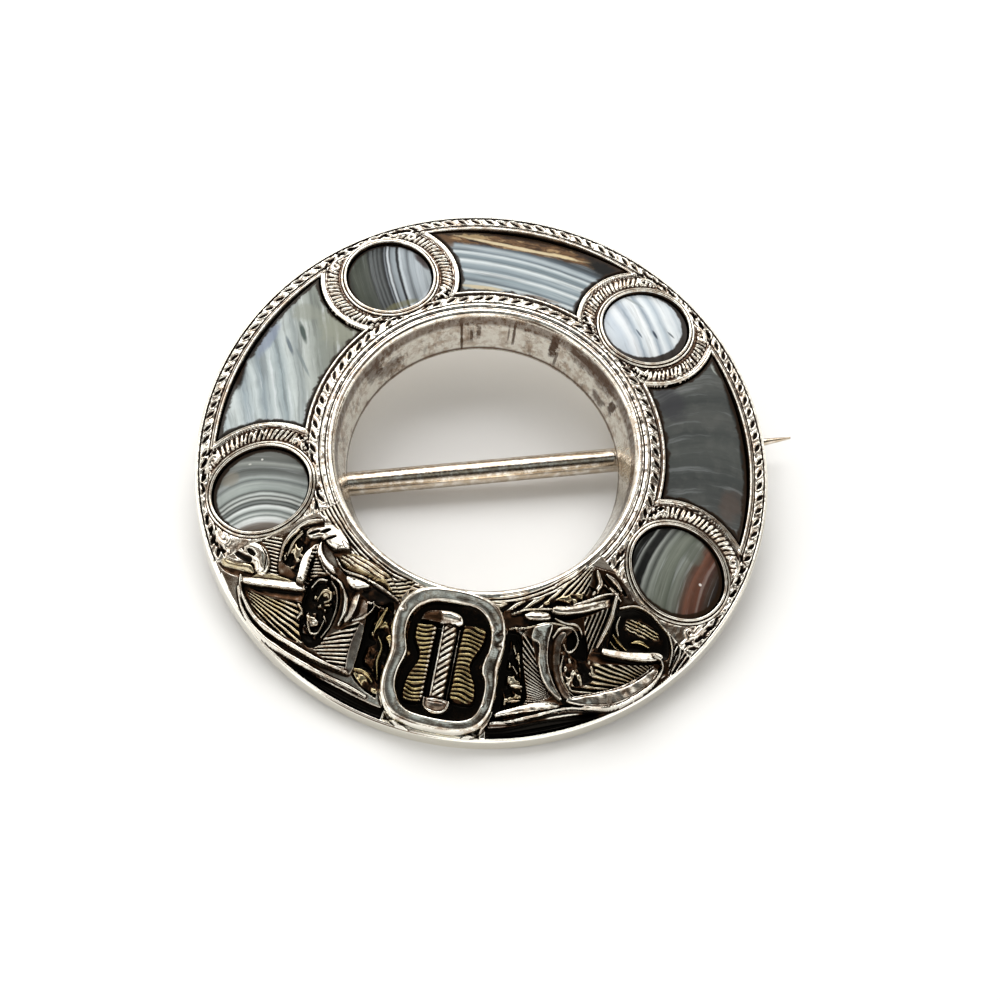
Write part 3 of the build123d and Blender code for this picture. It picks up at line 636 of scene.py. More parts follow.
              (-8.0, -17.55), (-6.2, -17.95)], 0.42, 0.74, (0.5, 0.35), 0.0, 0.0),
    ("fold", [(-15.1, -13.2), (-14.4, -14.7), (-13.0, -16.1), (-11.0, -17.15), (-8.4, -18.1),
              (-6.2, -18.7), (-4.6, -19.2)], 0.40, 0.46, (0.3, 0.3), 0.0, 0.0),
    ("fold", [(-3.75, -18.0), (-3.6, -18.9), (-3.1, -19.75), (-2.2, -20.55), (-1.2, -20.95)],
     0.34, 0.42, (0.3, 0.5), 0.0, 0.0),
    ("cut", [(-10.95, -8.95), (-10.25, -8.65)], 0.36),
    ("cut", [(-10.1, -8.75), (-9.55, -8.45)], 0.40),
    ("cut", [(-9.7, -9.25), (-9.0, -8.95)], 0.30),
]
RIGHT_WORK = [
    ("ground", [(9.3, -7.3), (11.4, -7.5), (13.0, -9.2), (16.8, -9.6), (17.5, -10.2),
                (15.9, -13.2), (11.0, -12.6), (11.2, -9.2), (9.3, -10.6), (8.8, -9.0)], -0.08,
     (0, 0), 0.0, 0.5, 0.15),
    ("fan", [(16.1, -9.75), (17.7, -9.9), (16.9, -12.0), (16.0, -13.2), (15.75, -12.7),
             (15.9, -11.2)], (14.9, -16.0), 3.3, 0.18, 0.85, 0.0),
    ("ground", [(11.5, -9.8), (12.6, -9.3), (13.8, -9.5), (15.1, -10.4), (15.6, -11.6),
                (15.3, -12.3), (13.0, -12.4), (11.3, -12.5)], -0.22, (0, 0), -0.16, 1.0, 0.1),
    ("rough", [(12.2, -10.2), (12.9, -10.0), (14.3, -10.3), (14.7, -10.9), (13.6, -11.1),
               (12.3, -10.9)], -0.28, 0.4, 0.25, 4, 0.8, 1.0),
    ("lines", [(12.2, -10.2), (12.9, -10.0), (14.3, -10.3), (14.7, -10.9), (13.6, -11.1),
               (12.3, -10.9)], -12, 0.25, 0.2, 0.95, 0.9),
    ("fold", [(12.8, -11.75), (13.4, -11.55), (14.1, -11.75)], 0.36, 0.06, (0.3, 0.3), 0.0, 0.9),
    ("fold", [(11.4, -11.6), (11.9, -12.0), (12.6, -12.45)], 0.28, 0.22, (0.3, 0.3), 0.0, 0.85),
    ("fold", [(11.3, -12.1), (11.7, -12.4), (12.2, -12.6)], 0.22, 0.2, (0.3, 0.3), 0.0, 0.7),
    ("fold", [(11.5, -9.7), (12.7, -9.25), (14.0, -9.55), (15.2, -10.4), (15.75, -11.5),
              (15.75, -12.6)], 0.20, 0.28, (0.4, 0.4), 0.1, 0.0),
    ("fold", [(13.2, -9.1), (14.8, -9.5), (16.0, -10.4), (16.35, -11.6), (16.0, -12.9)],
     0.16, 0.20, (0.4, 0.4), 0.1, 0.0),
    ("fold", [(11.7, -10.1), (11.55, -10.9), (11.8, -11.5)], 0.2, 0.1, (0.4, 0.4), 0.2, 0.2),
    ("rim", [(8.9, -7.0), (8.2, -7.6), (5.9, -9.6), (2.6, -11.1), (3.2, -11.4), (6.0, -10.3),
             (8.0, -8.6)], 0.27, 0.14, 0.75, 0.2),
    ("fan", [(9.15, -7.3), (9.1, -9.4), (8.3, -10.2), (6.8, -10.9), (4.6, -11.6), (3.5, -11.9),
             (3.3, -11.3), (5.6, -10.5), (7.3, -9.3), (8.4, -7.9)], (10.1, -5.6), 4.4, 0.26, 0.95,
     0.4),
    ("rough", [(6.2, -10.6), (7.2, -10.0), (8.2, -9.5), (9.0, -9.3), (9.2, -10.2), (7.6, -10.8),
               (6.4, -11.2)], -0.12, 0.5, 0.3, 8, 0.85, 0.75),
    ("ground", [(3.3, -11.9), (4.6, -11.5), (6.0, -11.1), (7.0, -11.0), (6.9, -12.0), (5.6, -12.4),
                (4.0, -13.0)], 0.02, (0.1, -0.2), 0.0, 0.75, 0.3),
    ("ground", [(15.2, -12.7), (14.4, -14.2), (12.8, -15.8), (10.6, -16.7), (8.8, -17.1),
                (6.4, -18.0), (4.5, -19.0), (5.2, -17.6), (5.3, -15.0), (5.1, -13.2),
                (6.4, -12.0), (8.0, -11.5), (10.0, -10.3), (11.2, -9.2), (10.9, -12.8)],
     0.28, (0, 0), 0.0, 0.6, 0.25),
    ("lines", [(9.2, -11.0), (10.0, -10.5), (10.9, -9.9), (10.7, -11.3), (10.2, -13.0),
               (9.7, -13.4), (9.5, -12.2)], 78, 0.28, 0.26, 0.9, 0.25),
    ("ground", [(10.2, -13.2), (11.0, -13.15), (13.2, -13.05), (14.6, -12.85), (12.6, -13.45),
                (10.3, -13.9), (9.9, -13.7)], 0.18, (0, -0.5), 0.0, 0.68, 0.0),
    ("fan", [(10.2, -13.95), (12.4, -13.5), (14.6, -13.0), (13.8, -14.3), (12.3, -15.5),
             (10.6, -16.2), (9.3, -16.3), (9.2, -15.6), (9.8, -15.0)], (17.6, -14.7), 3.1, 0.26,
     1.0, 0.6),
    ("ground", [(8.7, -12.0), (9.4, -12.1), (9.8, -12.9), (9.9, -13.7), (9.2, -13.9), (8.5, -13.4),
                (8.3, -12.6)], -0.32, (0, 0), 0.0, 1.0, 0.0),
    ("rough", [(9.3, -13.8), (10.3, -13.9), (10.7, -14.6), (10.1, -15.5), (9.3, -15.5)],
     0.04, 0.40, 0.34, 13, 0.95, 0.5),
    ("rough", [(8.1, -13.7), (8.9, -13.8), (9.3, -14.6), (9.2, -15.6), (9.4, -16.4), (8.8, -16.2),
               (8.3, -15.2)], 0.12, 0.42, 0.3, 6, 0.7, 0.3),
    ("fan", [(5.2, -13.0), (5.9, -13.4), (6.5, -14.7), (7.3, -15.9), (8.1, -16.6), (6.6, -17.5),
             (6.1, -17.6), (6.0, -16.0), (5.5, -14.8)], (9.3, -17.0), 3.4, 0.26, 0.92, 0.1),
    ("ground", [(4.2, -13.0), (5.1, -13.1), (5.5, -14.7), (6.0, -16.2), (6.2, -17.5), (4.6, -18.9),
                (4.0, -19.0)], -0.50, (0, 0), 0.0, 1.0, 0.0),
    ("rough", [(4.5, -13.4), (5.1, -13.6), (5.6, -15.4), (6.0, -16.8), (5.9, -17.7), (4.9, -18.5),
               (4.7, -16.0)], -0.38, 0.5, 0.45, 2, 1.0, 0.6),
    ("fold", [(4.75, -13.9), (5.0, -14.4)], 0.18, 0.06, (0.3, 0.3), 0.0, 0.4),
    ("fold", [(4.9, -15.2), (5.4, -15.7)], 0.2, 0.1, (0.3, 0.3), 0.0, 0.2),
    ("fold", [(5.0, -16.6), (5.9, -16.45)], 0.3, 0.12, (0.3, 0.3), 0.0, 0.3),
    ("fold", [(5.1, -17.65), (5.9, -17.4)], 0.26, 0.1, (0.3, 0.3), 0.0, 0.2),
    ("ground", [(5.9, -12.45), (7.1, -12.05), (7.1, -13.3), (7.3, -14.6), (7.9, -15.8),
                (8.75, -16.85), (8.1, -16.7), (7.2, -15.9), (6.65, -14.8), (6.45, -13.6),
                (5.85, -13.3)], 0.66, (0.04, 0.0), 0.05, 0.0, 0.0),
    ("ground", [(7.25, -12.9), (7.6, -12.35), (8.2, -12.4), (8.0, -13.2), (8.1, -14.4),
                (8.6, -15.6), (9.4, -16.7), (8.8, -16.7), (8.1, -15.9), (7.5, -14.6)],
     0.45, (0.35, 0.0), 0.1, 0.50, 0.12),
    ("fold", [(7.3, -12.9), (7.7, -12.2), (8.5, -12.0), (9.05, -12.6), (8.95, -13.3), (8.5, -13.6),
              (8.15, -13.2)], 0.20, 0.56, (0.5, 0.5), 0.05, 0.15),
    ("fold", [(8.25, -13.9), (8.3, -15.0), (8.9, -16.0), (9.6, -16.45)],
     0.22, 0.50, (0.5, 0.3), 0.15, 0.2),
    ("ground", [(11.3, -8.85), (10.4, -9.1), (9.2, -9.85), (8.0, -10.6), (6.95, -10.95),
                (7.1, -11.4), (8.4, -11.15), (9.6, -10.5), (10.7, -9.75)], 0.50, (-0.1, -0.3),
     0.10, 0.22, 0.1),
    ("fold", [(11.25, -8.85), (10.3, -9.2), (9.0, -10.0), (7.8, -10.75)], 0.16, 0.62, (0.6, 0.4),
     0.0, 0.0),
    ("cut", [(10.6, -9.95), (9.2, -10.8), (7.6, -11.5)], 0.2),
    ("fold", [(10.45, -12.9), (10.85, -11.6), (11.1, -10.4), (11.15, -9.1)],
     0.44, 0.82, (0.5, 0.7), 0.0, 0.0),
    ("fold", [(7.2, -11.6), (8.0, -11.75), (8.8, -11.7), (9.3, -12.2)], 0.2, 0.5, (0.6, 0.4), 0.25,
     0.1),
    ("fold", [(4.2, -12.95), (5.5, -12.6), (6.8, -12.0), (8.0, -11.9)],
     0.15, 0.46, (0.5, 0.5), 0.05, 0.35),
    ("fold", [(4.2, -11.95), (5.0, -11.5), (6.0, -11.2), (7.0, -10.95)],
     0.13, 0.34, (0.5, 0.5), 0.1, 0.3),
    ("ground", [(5.0, -11.9), (5.6, -11.45), (6.7, -11.3), (6.9, -11.7), (6.2, -12.0),
                (5.4, -12.1)],
     0.50, (0.0, -0.5), 0.12, 0.0, 0.0),
    ("ground", [(10.8, -12.8), (12.4, -12.62), (13.7, -12.3), (14.8, -11.98), (15.2, -12.3),
                (14.4, -12.8), (12.9, -13.1), (11.0, -13.25)], 0.60, (0.0, -0.44), 0.03, 0.0, 0.0),
    ("ground", [(14.7, -13.1), (14.0, -13.85), (12.8, -14.9), (10.9, -15.85), (9.3, -16.6),
                (9.2, -17.0), (11.4, -16.8), (13.3, -15.8), (14.6, -14.4), (15.1, -13.3)],
     0.56, (0.0, -0.16), 0.03, 0.04, 0.0),
    ("fold", [(14.6, -13.1), (13.9, -13.9), (12.7, -14.95), (11.0, -15.85), (9.4, -16.6)],
     0.11, 0.60, (0.6, 0.4), 0.05, 0.0),
    ("ground", [(8.6, -16.95), (7.4, -17.2), (6.2, -17.7), (4.6, -18.6), (4.5, -18.95),
                (6.0, -18.35), (7.6, -17.75), (8.6, -17.3)], 0.46, (0.0, -0.44), 0.04, 0.0, 0.0),
    ("ground", [(8.6, -17.35), (7.4, -17.9), (5.6, -18.6), (5.0, -18.95), (6.4, -18.7),
                (8.2, -17.9)],
     0.30, (0.0, 0.0), 0.0, 0.62, 0.0),
    ("fold", [(14.5, -12.35), (15.1, -12.6), (15.25, -13.2), (14.7, -14.4), (13.4, -15.8),
              (12.0, -16.65), (10.4, -17.05), (9.0, -17.4), (7.2, -18.25), (5.4, -19.05),
              (4.2, -19.4)], 0.24, 0.74, (0.7, 0.5), 0.0, 0.0),
    ("fold", [(4.2, -18.6), (3.95, -19.4), (3.3, -20.2), (2.5, -20.75)], 0.32, 0.40, (0.3, 0.5),
     0.0, 0.0),
    ("fold", [(9.5, -7.6), (9.9, -8.4), (9.5, -9.3)], 0.46, 0.36, (0.4, 0.5), 0.0, 0.0),
    ("fold", [(10.2, -7.7), (10.9, -8.0), (11.4, -8.5)], 0.4, 0.36, (0.4, 0.5), 0.0, 0.0),
    ("fold", [(10.2, -8.4), (10.9, -8.7), (11.5, -9.2)], 0.3, 0.36, (0.4, 0.5), 0.0, 0.0),
    ("cut", [(9.8, -7.9), (10.5, -8.5)], 0.3),
    ("cut", [(11.3, -8.1), (11.8, -8.6)], 0.3),
    ("cut", [(9.2, -8.7), (9.7, -9.0)], 0.3),
    ("cut", [(16.5, -8.9), (17.0, -9.5)], 0.3),
    ("cut", [(17.5, -8.4), (18.0, -9.1)], 0.3),
]
# Inner edge of the polished hollow along the outer rim, from the buckle outwards
LEFT_HOLLOW = [(-3.2, -19.7), (-4.6, -19.45), (-7.0, -18.75), (-9.6, -17.95), (-12.2, -16.8),
               (-14.2, -15.2), (-15.6, -13.6), (-16.6, -12.3)]
RIGHT_HOLLOW = [(3.9, -19.6), (5.4, -19.2), (8.3, -18.0), (10.5, -17.2), (12.4, -16.65),
                (14.2, -15.1), (15.5, -13.4), (16.3, -12.9)]
HOLLOW_OUTER = 20.78


def cast_ribbon(relief, work, hollow_edge):
    """Cast work on one side of the buckle, with the turned lines and the hollow beside it."""
    for radius, width, height in RIBBON_LINES:
        relief.height += height * turned(relief, radius, width)
    hollow(relief, hollow_edge)
    relief.carve(work)


def hollow(relief, inner_edge):
    """Polished hollow between the ribbon and the outer rim, coloured black as a painted dark
    reflection.
    """
    inner = curve_through(inner_edge)
    turns = np.degrees(np.arctan2(inner[:, 1], inner[:, 0])) % 360
    order = np.argsort(turns)
    radii = np.hypot(inner[:, 0], inner[:, 1])
    low = np.interp(relief.turn, turns[order], radii[order], left=99, right=99)
    share = (relief.radius - low) / np.maximum(HOLLOW_OUTER - low, 0.05)
    inside = (share > 0) & (share < 1) & (low < HOLLOW_OUTER)
    bowl = np.where(inside, np.sin(np.clip(share, 0, 1) * pi) ** 0.6, 0)
    wide = smooth(0.0, 0.7, HOLLOW_OUTER - low)
    relief.height -= 0.42 * bowl * wide
    # Painted dark reflection: the polished hollow is coloured black through its tarnish.
    relief.dark = np.maximum(relief.dark, smooth(0.1, 0.6, bowl) * wide)
    relief.clean = np.maximum(relief.clean, smooth(0.1, 0.6, bowl) * wide)


# Buckle's well with its tongue and ribbed pads. Millimetres, seen from above
WELL = (-3.0, 3.6, -20.2, -11.6)
WELL_BED = (-2.9, 3.4, -20.2, -11.8)  # where the front is sunk under the well
WELL_BED_DEPTH = 0.35
WELL_STEP = 0.045
TONGUE_MIDDLE = 0.22
TONGUE_HALF = 0.52
TONGUE_ENDS = (-18.5, -13.65)
# Outline of each pad, and the side on which its ribs end in beads
PADS = [
    ([(-2.15, -13.8), (-0.75, -13.75), (-0.66, -14.8), (-0.66, -16.0), (-0.68, -17.4),
      (-0.78, -18.85), (-2.1, -18.9), (-2.1, -17.4), (-1.55, -16.0), (-2.1, -14.8)], -0.78),
    ([(1.1, -13.35), (2.6, -13.3), (2.72, -14.4), (2.12, -15.9), (2.72, -17.2), (2.7, -18.4),
      (1.15, -18.4), (1.05, -17.3), (1.02, -15.9), (1.05, -14.5)], None),
]
PAD_PITCH = 0.30


WELL_FLOOR = -0.16
TONGUE_TWIST = 0.45  # from each turn of the tongue's cord to the next
# The tongue's edges, the knob at its head in two tones, the cut below it, and its tip
WELL_WORK = [
    ("fold", [(-0.27, -13.7), (-0.24, -16), (-0.24, -18.5)], 0.13, 0.6, (0.8, 0.8), 0, 0),
    ("fold", [(0.9, -13.7), (0.92, -16), (0.92, -18.4)], 0.1, 0.2, (0.8, 0.8), 0.35, 0),
    ("ground", [(-1.9, -13.5), (-1.65, -12.95), (-0.8, -12.7), (0.2, -12.65), (0.85, -12.85),
                (1.05, -13.4), (0.2, -13.6)], 0.3, (0, 0.1), 0.24, 0.12, 0),
    ("ground", [(-1.85, -13.45), (-1.6, -13), (-0.8, -12.78), (-0.5, -13.1), (-0.6, -13.5)],
     0.34, (0.15, 0), 0.1, 0.66, 0.3),
    ("cut", [(-1.9, -13.68), (0.2, -13.72), (1.1, -13.6)], 0.12, 0.2, 0.9, (0.5, 0.5)),
    ("ground", [(-0.6, -18.5), (1.1, -18.5), (1.12, -19), (0.8, -19.35), (0.25, -19.48),
                (-0.3, -19.35), (-0.62, -19)], 0.34, (0, 0), 0.26, 0.5, 0),
    ("fold", [(-0.62, -18.55), (-0.55, -19.1), (-0.1, -19.42), (0.6, -19.42), (1.03, -19.1),
              (1.12, -18.55)], 0.2, 0.5, (0.6, 0.6), 0, 0),
    ("fold", [(-0.45, -18.7), (0.3, -18.62), (0.95, -18.7)], 0.16, 0.62, (0.5, 0.5), 0, 0),
]


def ribbed_pad(relief, corners, beads):
    """Gilt pad with wavy ribs, which end in beads along one side if that is given."""
    x, y = relief.x, relief.y
    body = smooth(-0.08, 0.14, depth_inside(x, y, curve_through([*corners, corners[0]], 4)))
    wander = 0.60 * (lumps(x, y, 0.7, 31) - 0.5)
    rib = 0.5 + 0.5 * np.cos(2 * pi * ((y + 0.1 * np.sin(x * 3.0)) / PAD_PITCH + wander))
    rise = (0.36 + 0.18 * rib**0.8 + 0.06 * lumps(x, y, 0.5, 32)) * body
    bright = smooth(0.2, 0.8, rib) * body * (0.35 + 0.65 * lumps(x, y, 0.35, 33))
    relief.height = np.maximum(relief.height, WELL_FLOOR + rise)
    relief.dark = relief.dark * (1 - body) + body * (0.72 - 0.66 * bright)
    relief.gilt = np.maximum(relief.gilt, body * 0.95)
    if beads is not None:
        bead = smooth(0.22, 0.08, np.hypot(x - beads, (rib < 0.5) * 0.3)) * body
        relief.dark *= 1 - bead
        relief.gilt *= 1 - 0.8 * bead
        relief.height += 0.08 * bead


def tongue(relief):
    """Tongue with a twisted cord along it."""
    x, y = relief.x, relief.y
    across = (x - TONGUE_MIDDLE) / TONGUE_HALF
    on_tongue = (np.abs(across) < 1) & (y > TONGUE_ENDS[0]) & (y < TONGUE_ENDS[1])
    body = np.clip(1 - across**4, 0, 1) ** 0.5
    twist = 0.5 + 0.5 * np.cos(2 * pi * (y - 0.84 * (x - TONGUE_MIDDLE)) / TONGUE_TWIST + 1.0)
    twist = np.clip(twist + 0.3 * (lumps(x, y, 0.4, 34) - 0.5), 0, 1)
    relief.height = np.where(on_tongue, 0.10 + 0.52 * body - 0.17 * (1 - twist), relief.height)
    relief.dark = np.where(on_tongue, 0.85 * smooth(0.55, 0.15, twist), relief.dark)
    relief.gilt = np.where(on_tongue, 0.1, relief.gilt)


def well_relief(relief):
    """Ground of the buckle's opening with its tongue, knobs and ribbed pads."""
    relief.height[:] = WELL_FLOOR
    relief.dark[:] = 1.0
    for pad, beads in PADS:
        ribbed_pad(relief, pad, beads)
    tongue(relief)
    relief.carve(WELL_WORK)


# Sheets: first and last turn, columns, and the cast work with its hollow's edge
SHEETS = [
    ("ring_front_right", RIBBON_END - 360, 48.0, 340),
    ("ring_front_top", 48.0, 132.0, 348),
    ("ring_front_left", 132.0, RIBBON_START, 340),
    ("ribbon_front_left", RIBBON_START, 270.0, 430, LEFT_WORK, LEFT_HOLLOW),
    ("ribbon_front_right", 270.0, RIBBON_END, 430, RIGHT_WORK, RIGHT_HOLLOW),
]
# Rows down the section
COLLAR_ROWS = 12
LIP_ROWS = 7
FRONT_ROWS = 200
ROUND_ROWS = 4
EDGE_ROWS = 7


def straight(first, last, shares, front=0.0):
    """Rows on a straight part of the section."""
    (r0, h0), (r1, h1) = first, last
    return [(r0 + s * (r1 - r0), h0 + s * (h1 - h0), front) for s in shares]


def rounded(radius, height, size, turns):
    """Rows on a rounding of the section."""
    return [
        (radius + size * cos(radians(turn)), height + size * sin(radians(turn)), 0.0)
        for turn in turns
    ]


def profile():
    """Radius, height and whether it is on the front, from the hole's foot down to the wall's."""
    lip = (RIM_RADIUS - LIP_WIDTH, RIM_HEIGHT - LIP_WIDTH)
    edge = (EDGE_RADIUS - EDGE_ROUND, EDGE_HEIGHT - EDGE_ROUND)
    collar = np.linspace(0, 1, COLLAR_ROWS, endpoint=False)
    front = np.linspace(0, 1, FRONT_ROWS)
    wall = np.linspace(0, 1, EDGE_ROWS)[1:]
    return np.array([
        *straight((HOLE_RADIUS, 0), lip, collar),
        *rounded(RIM_RADIUS, lip[1], LIP_WIDTH, np.linspace(180, 90, LIP_ROWS, endpoint=False)),
        *straight((RIM_RADIUS, RIM_HEIGHT), (edge[0], front_height(edge[0])), front, 1.0),
        *rounded(*edge, EDGE_ROUND, np.linspace(70, 0, ROUND_ROWS)),
        *straight((EDGE_RADIUS, edge[1]), (FOOT_RADIUS, 0), wall),
    ])


def blurred(values, reach):
    """Mean over a square of cells round each cell."""
    span = 2 * reach + 1
    for _ in range(2):
        total = np.cumsum(np.pad(values, ((reach + 1, reach), (0, 0)), mode="edge"), axis=0)
        values = ((total[span:] - total[:-span]) / span).T
    return values


def recessed(shift, *steps):
    """How deep each point lies below its surroundings, by a few reaches and full depths."""
    depths = [np.clip((blurred(shift, reach) - shift) / depth, 0, 1) for reach, depth in steps]
    return np.max(depths, axis=0)


def grid_mesh(name, points, tables):
    """A sheet of square cells through a grid of points, with a number table for each attribute."""
    rows, columns, _ = points.shape
    number = np.arange(rows * columns).reshape(rows, columns)
    faces = np.stack([number[:-1, :-1], number[1:, :-1], number[1:, 1:], number[:-1, 1:]], axis=-1)
    return build_mesh(name, points.reshape(-1, 3), faces.reshape(-1, 4),
                      {key: table.ravel() for key, table in tables.items()})


def build_mesh(name, points, faces, tables=None):
    """Mesh in the resting frame from points in the brooch's millimetres."""
    mesh = bpy.data.meshes.new(name)
    turn = np.array(LYING)
    placed = points @ turn[:3, :3].T + turn[:3, 3]
    mesh.vertices.add(len(placed))
    mesh.vertices.foreach_set("co", placed.astype(np.float32).ravel())
    corners = faces.shape[1]
    mesh.loops.add(faces.size)
    mesh.loops.foreach_set("vertex_index", faces.astype(np.int32).ravel())
    mesh.polygons.add(len(faces))
    mesh.polygons.foreach_set("loop_start", np.arange(0, faces.size, corners, dtype=np.int32))
    mesh.polygons.foreach_set("loop_total", np.full(len(faces), corners, dtype=np.int32))
    mesh.update(calc_edges=True)
    mesh.validate()
    for key, values in (tables or {}).items():
        layer = mesh.attributes.new(key, "FLOAT", "POINT")
        layer.data.foreach_set("value", values.astype(np.float32))
    mesh.polygons.foreach_set("use_smooth", np.ones(len(mesh.polygons), bool))
    piece = bpy.data.objects.new(name, mesh)
    bpy.context.collection.objects.link(piece)
    return piece


def among_stones(turn):
    """1 where the ring carries stones, 0 beside the buckle."""
    start, fade = RIBBON_END - 360, BORDER_FADE
    begun = smooth(start - fade, start + fade, (turn - start + 0.5) % 360 + start - 0.5)
    return begun * smooth(RIBBON_START + fade, RIBBON_START - fade, (turn - start) % 360 + start)


def front_sheet(name, first, last, columns, work=None, hollow_edge=None):
    """One length of the ring's front, collar and wall, with its relief, its tarnish and, in the
    hollow beside the ribbon, painted dark reflection.
    """
    section = profile()
    turns = np.radians(np.linspace(first, last, columns + 1))
    radius = np.repeat(section[:, :1], columns + 1, axis=1)
    x, y = radius * np.cos(turns), radius * np.sin(turns)
    relief = Relief(x, y)
    if work:
        cast_ribbon(relief, work, hollow_edge)
    else:
        stone_surround(relief, among_stones(relief.turn))
    cut_cells(relief)
    relief.cover(smooth(-0.3, 0.0, box_depth(x, y, WELL_BED)), -WELL_BED_DEPTH)
    seam = np.minimum(np.abs(relief.turn - RIBBON_START), np.abs(relief.turn - RIBBON_END))
    on_front = section[:, 2:3] * smooth(0.0, 0.2, relief.radius - RIM_RADIUS)
    on_front = on_front * smooth(EDGE_RADIUS - EDGE_ROUND, EDGE_RADIUS - 0.2, relief.radius)
    on_front = on_front * smooth(0.0, SEAM_FADE, seam)
    shift = relief.height * on_front
    return grid_mesh(name, np.stack([x, y, section[:, 1:2] + shift], axis=-1), {
        "dark": np.clip(relief.dark * on_front, 0, 1),
        "gilt": np.clip(relief.gilt * on_front, 0, 1),
        "recess": recessed(shift, (5, 0.18), (11, 0.3)) * on_front,
        "clean": relief.clean * on_front,
    })


def cut_cells(relief):
    """Cells that hold the stones."""
    depth = np.full(relief.radius.shape, -5.0)
    for step in PANEL_STEPS:
        depth = np.maximum(depth, panel_distance(relief.x, relief.y, step) + CEMENT_GAP)
    for step in OVAL_STEPS:
        gap, _ = oval_distance(relief.x, relief.y, step)
        depth = np.maximum(depth, CEMENT_GAP - gap)
    sunk = smooth(-0.02, 0.06, depth)
    relief.cover(sunk, -CELL_DEPTH)
    relief.dark = np.maximum(relief.dark, sunk)


def well_sheet(name):
    """Inlay sheet in the buckle's opening."""
    low_x, high_x, low_y, high_y = WELL
    x, y = np.meshgrid(np.arange(low_x, high_x, WELL_STEP), np.arange(high_y, low_y, -WELL_STEP))
    relief = Relief(x, y)
    well_relief(relief)
    level = front_height(relief.radius) - 0.3 * smooth(0.2, 0.0, box_depth(x, y, WELL))
    return grid_mesh(name, np.stack([x, y, level + relief.height], axis=-1), {
        "dark": relief.dark, "gilt": relief.gilt, "clean": relief.clean,
        "recess": recessed(relief.height, (5, 0.15)),
    })


def lofted(name, rings, closed=False, tables=None):
    """Tube-like skin through rings of points; every ring has the same number of points."""
    rings = np.array(rings)
    count, sides, _ = rings.shape
    number = np.arange(count * sides).reshape(count, sides)
    if closed:
        number = np.vstack([number, number[:1]])
    over = np.roll(number, -1, axis=1)
    faces = np.stack([number[:-1], over[:-1], over[1:], number[1:]], axis=-1).reshape(-1, 4)
    return build_mesh(name, rings.reshape(-1, 3), faces, tables)


def wire(name, line, radius, sides=10):
    """Closed round wire along a line of points."""
    line = np.array(line)
    ahead = np.roll(line, -1, axis=0) - np.roll(line, 1, axis=0)
    ahead /= np.linalg.norm(ahead, axis=1, keepdims=True)
    side = np.cross(ahead, (0.0, 0.0, 1.0))
    side /= np.linalg.norm(side, axis=1, keepdims=True)
    over = np.cross(side, ahead)
    turns = np.linspace(0, 2 * pi, sides, endpoint=False)[None, :, None]
    around = np.cos(turns) * side[:, None] + np.sin(turns) * over[:, None]
    return lofted(name, line[:, None] + radius * around, True)


def joined(name, pieces):
    """Several closed meshes as one piece, with every face outward."""
    bpy.ops.object.select_all(action="DESELECT")
    for piece in pieces:
        piece.select_set(True)
    bpy.context.view_layer.objects.active = pieces[0]
    if len(pieces) > 1:
        bpy.ops.object.join()
    whole = bpy.context.view_layer.objects.active
    whole.name = name
    whole.data.name = name
    bpy.ops.object.mode_set(mode="EDIT")
    bpy.ops.mesh.select_all(action="SELECT")
    bpy.ops.mesh.remove_doubles(threshold=1e-7)
    bpy.ops.mesh.normals_make_consistent(inside=False)
    bpy.ops.object.mode_set(mode="OBJECT")
    bpy.ops.object.select_all(action="DESELECT")
    return whole


def on_top(x, y, lift):
    """A point above the plain front."""
    return (x, y, front_height(np.hypot(x, y)) + lift)


# Margin and lift of each wire round an oval, and its share of the full thickness
BEZEL_WIRES = ((0.16, 0.15, 1.0), (0.41, 0.05, 0.75))
# Margin, lift and radius of the edge round a panel
PANEL_WIRE = (0.17, 0.03, 0.085)


def oval_rim(step, margin, lift, radius):
    """Wire round an oval stone."""
    (cx, cy), (ox, oy) = stone_place(step)
    line = []
    for turn in np.linspace(0, 2 * pi, 120, endpoint=False):
        wave = 0.015 * sin(turn * 3 + step) + 0.01 * sin(turn * 7 + step * 2)
        out = (OVAL_LONG / 2 + margin) * cos(turn) + wave
        side = (OVAL_WIDE / 2 + margin) * sin(turn)
        line.append(on_top(cx + out * ox - side * oy, cy + out * oy + side * ox, lift))
    return wire("bezel_wire", line, radius)


def panel_outline(step, margin):
    """Points along a panel's outline: outer arc, one end, inner arc, other end."""
    middle = 90 - step * STONE_PITCH
    outer, inner = PANEL_OUTER_RADIUS + margin, PANEL_INNER_RADIUS - margin

    def end(side, radius):
        """Turn at which an arc of this radius meets the panel's end."""
        low, high = 0.0, STONE_PITCH
        for _ in range(30):
            turn = (low + high) / 2
            angle = radians(middle + side * turn)
            gap, _ = oval_distance(radius * cos(angle), radius * sin(angle), step - side)
            low, high = (turn, high) if gap > PANEL_END_GAP - margin else (low, turn)
        return middle + side * turn

    points = []
    for side, first, last, count in ((1, outer, inner, 90), (-1, inner, outer, 70)):
        for turn in np.linspace(end(side, first), end(-side, first), count, endpoint=False):
            points.append((first, turn))
        for radius in np.linspace(first, last, 50, endpoint=False):
            points.append((radius, end(-side, radius)))
    return [(r * cos(radians(t)), r * sin(radians(t))) for r, t in points]


def panel_rim(step):
    """Fine raised edge round a panel."""
    margin, lift, radius = PANEL_WIRE
    line = [on_top(x, y, lift) for x, y in panel_outline(step, margin)]
    return wire("panel_wire", line, radius, 8)


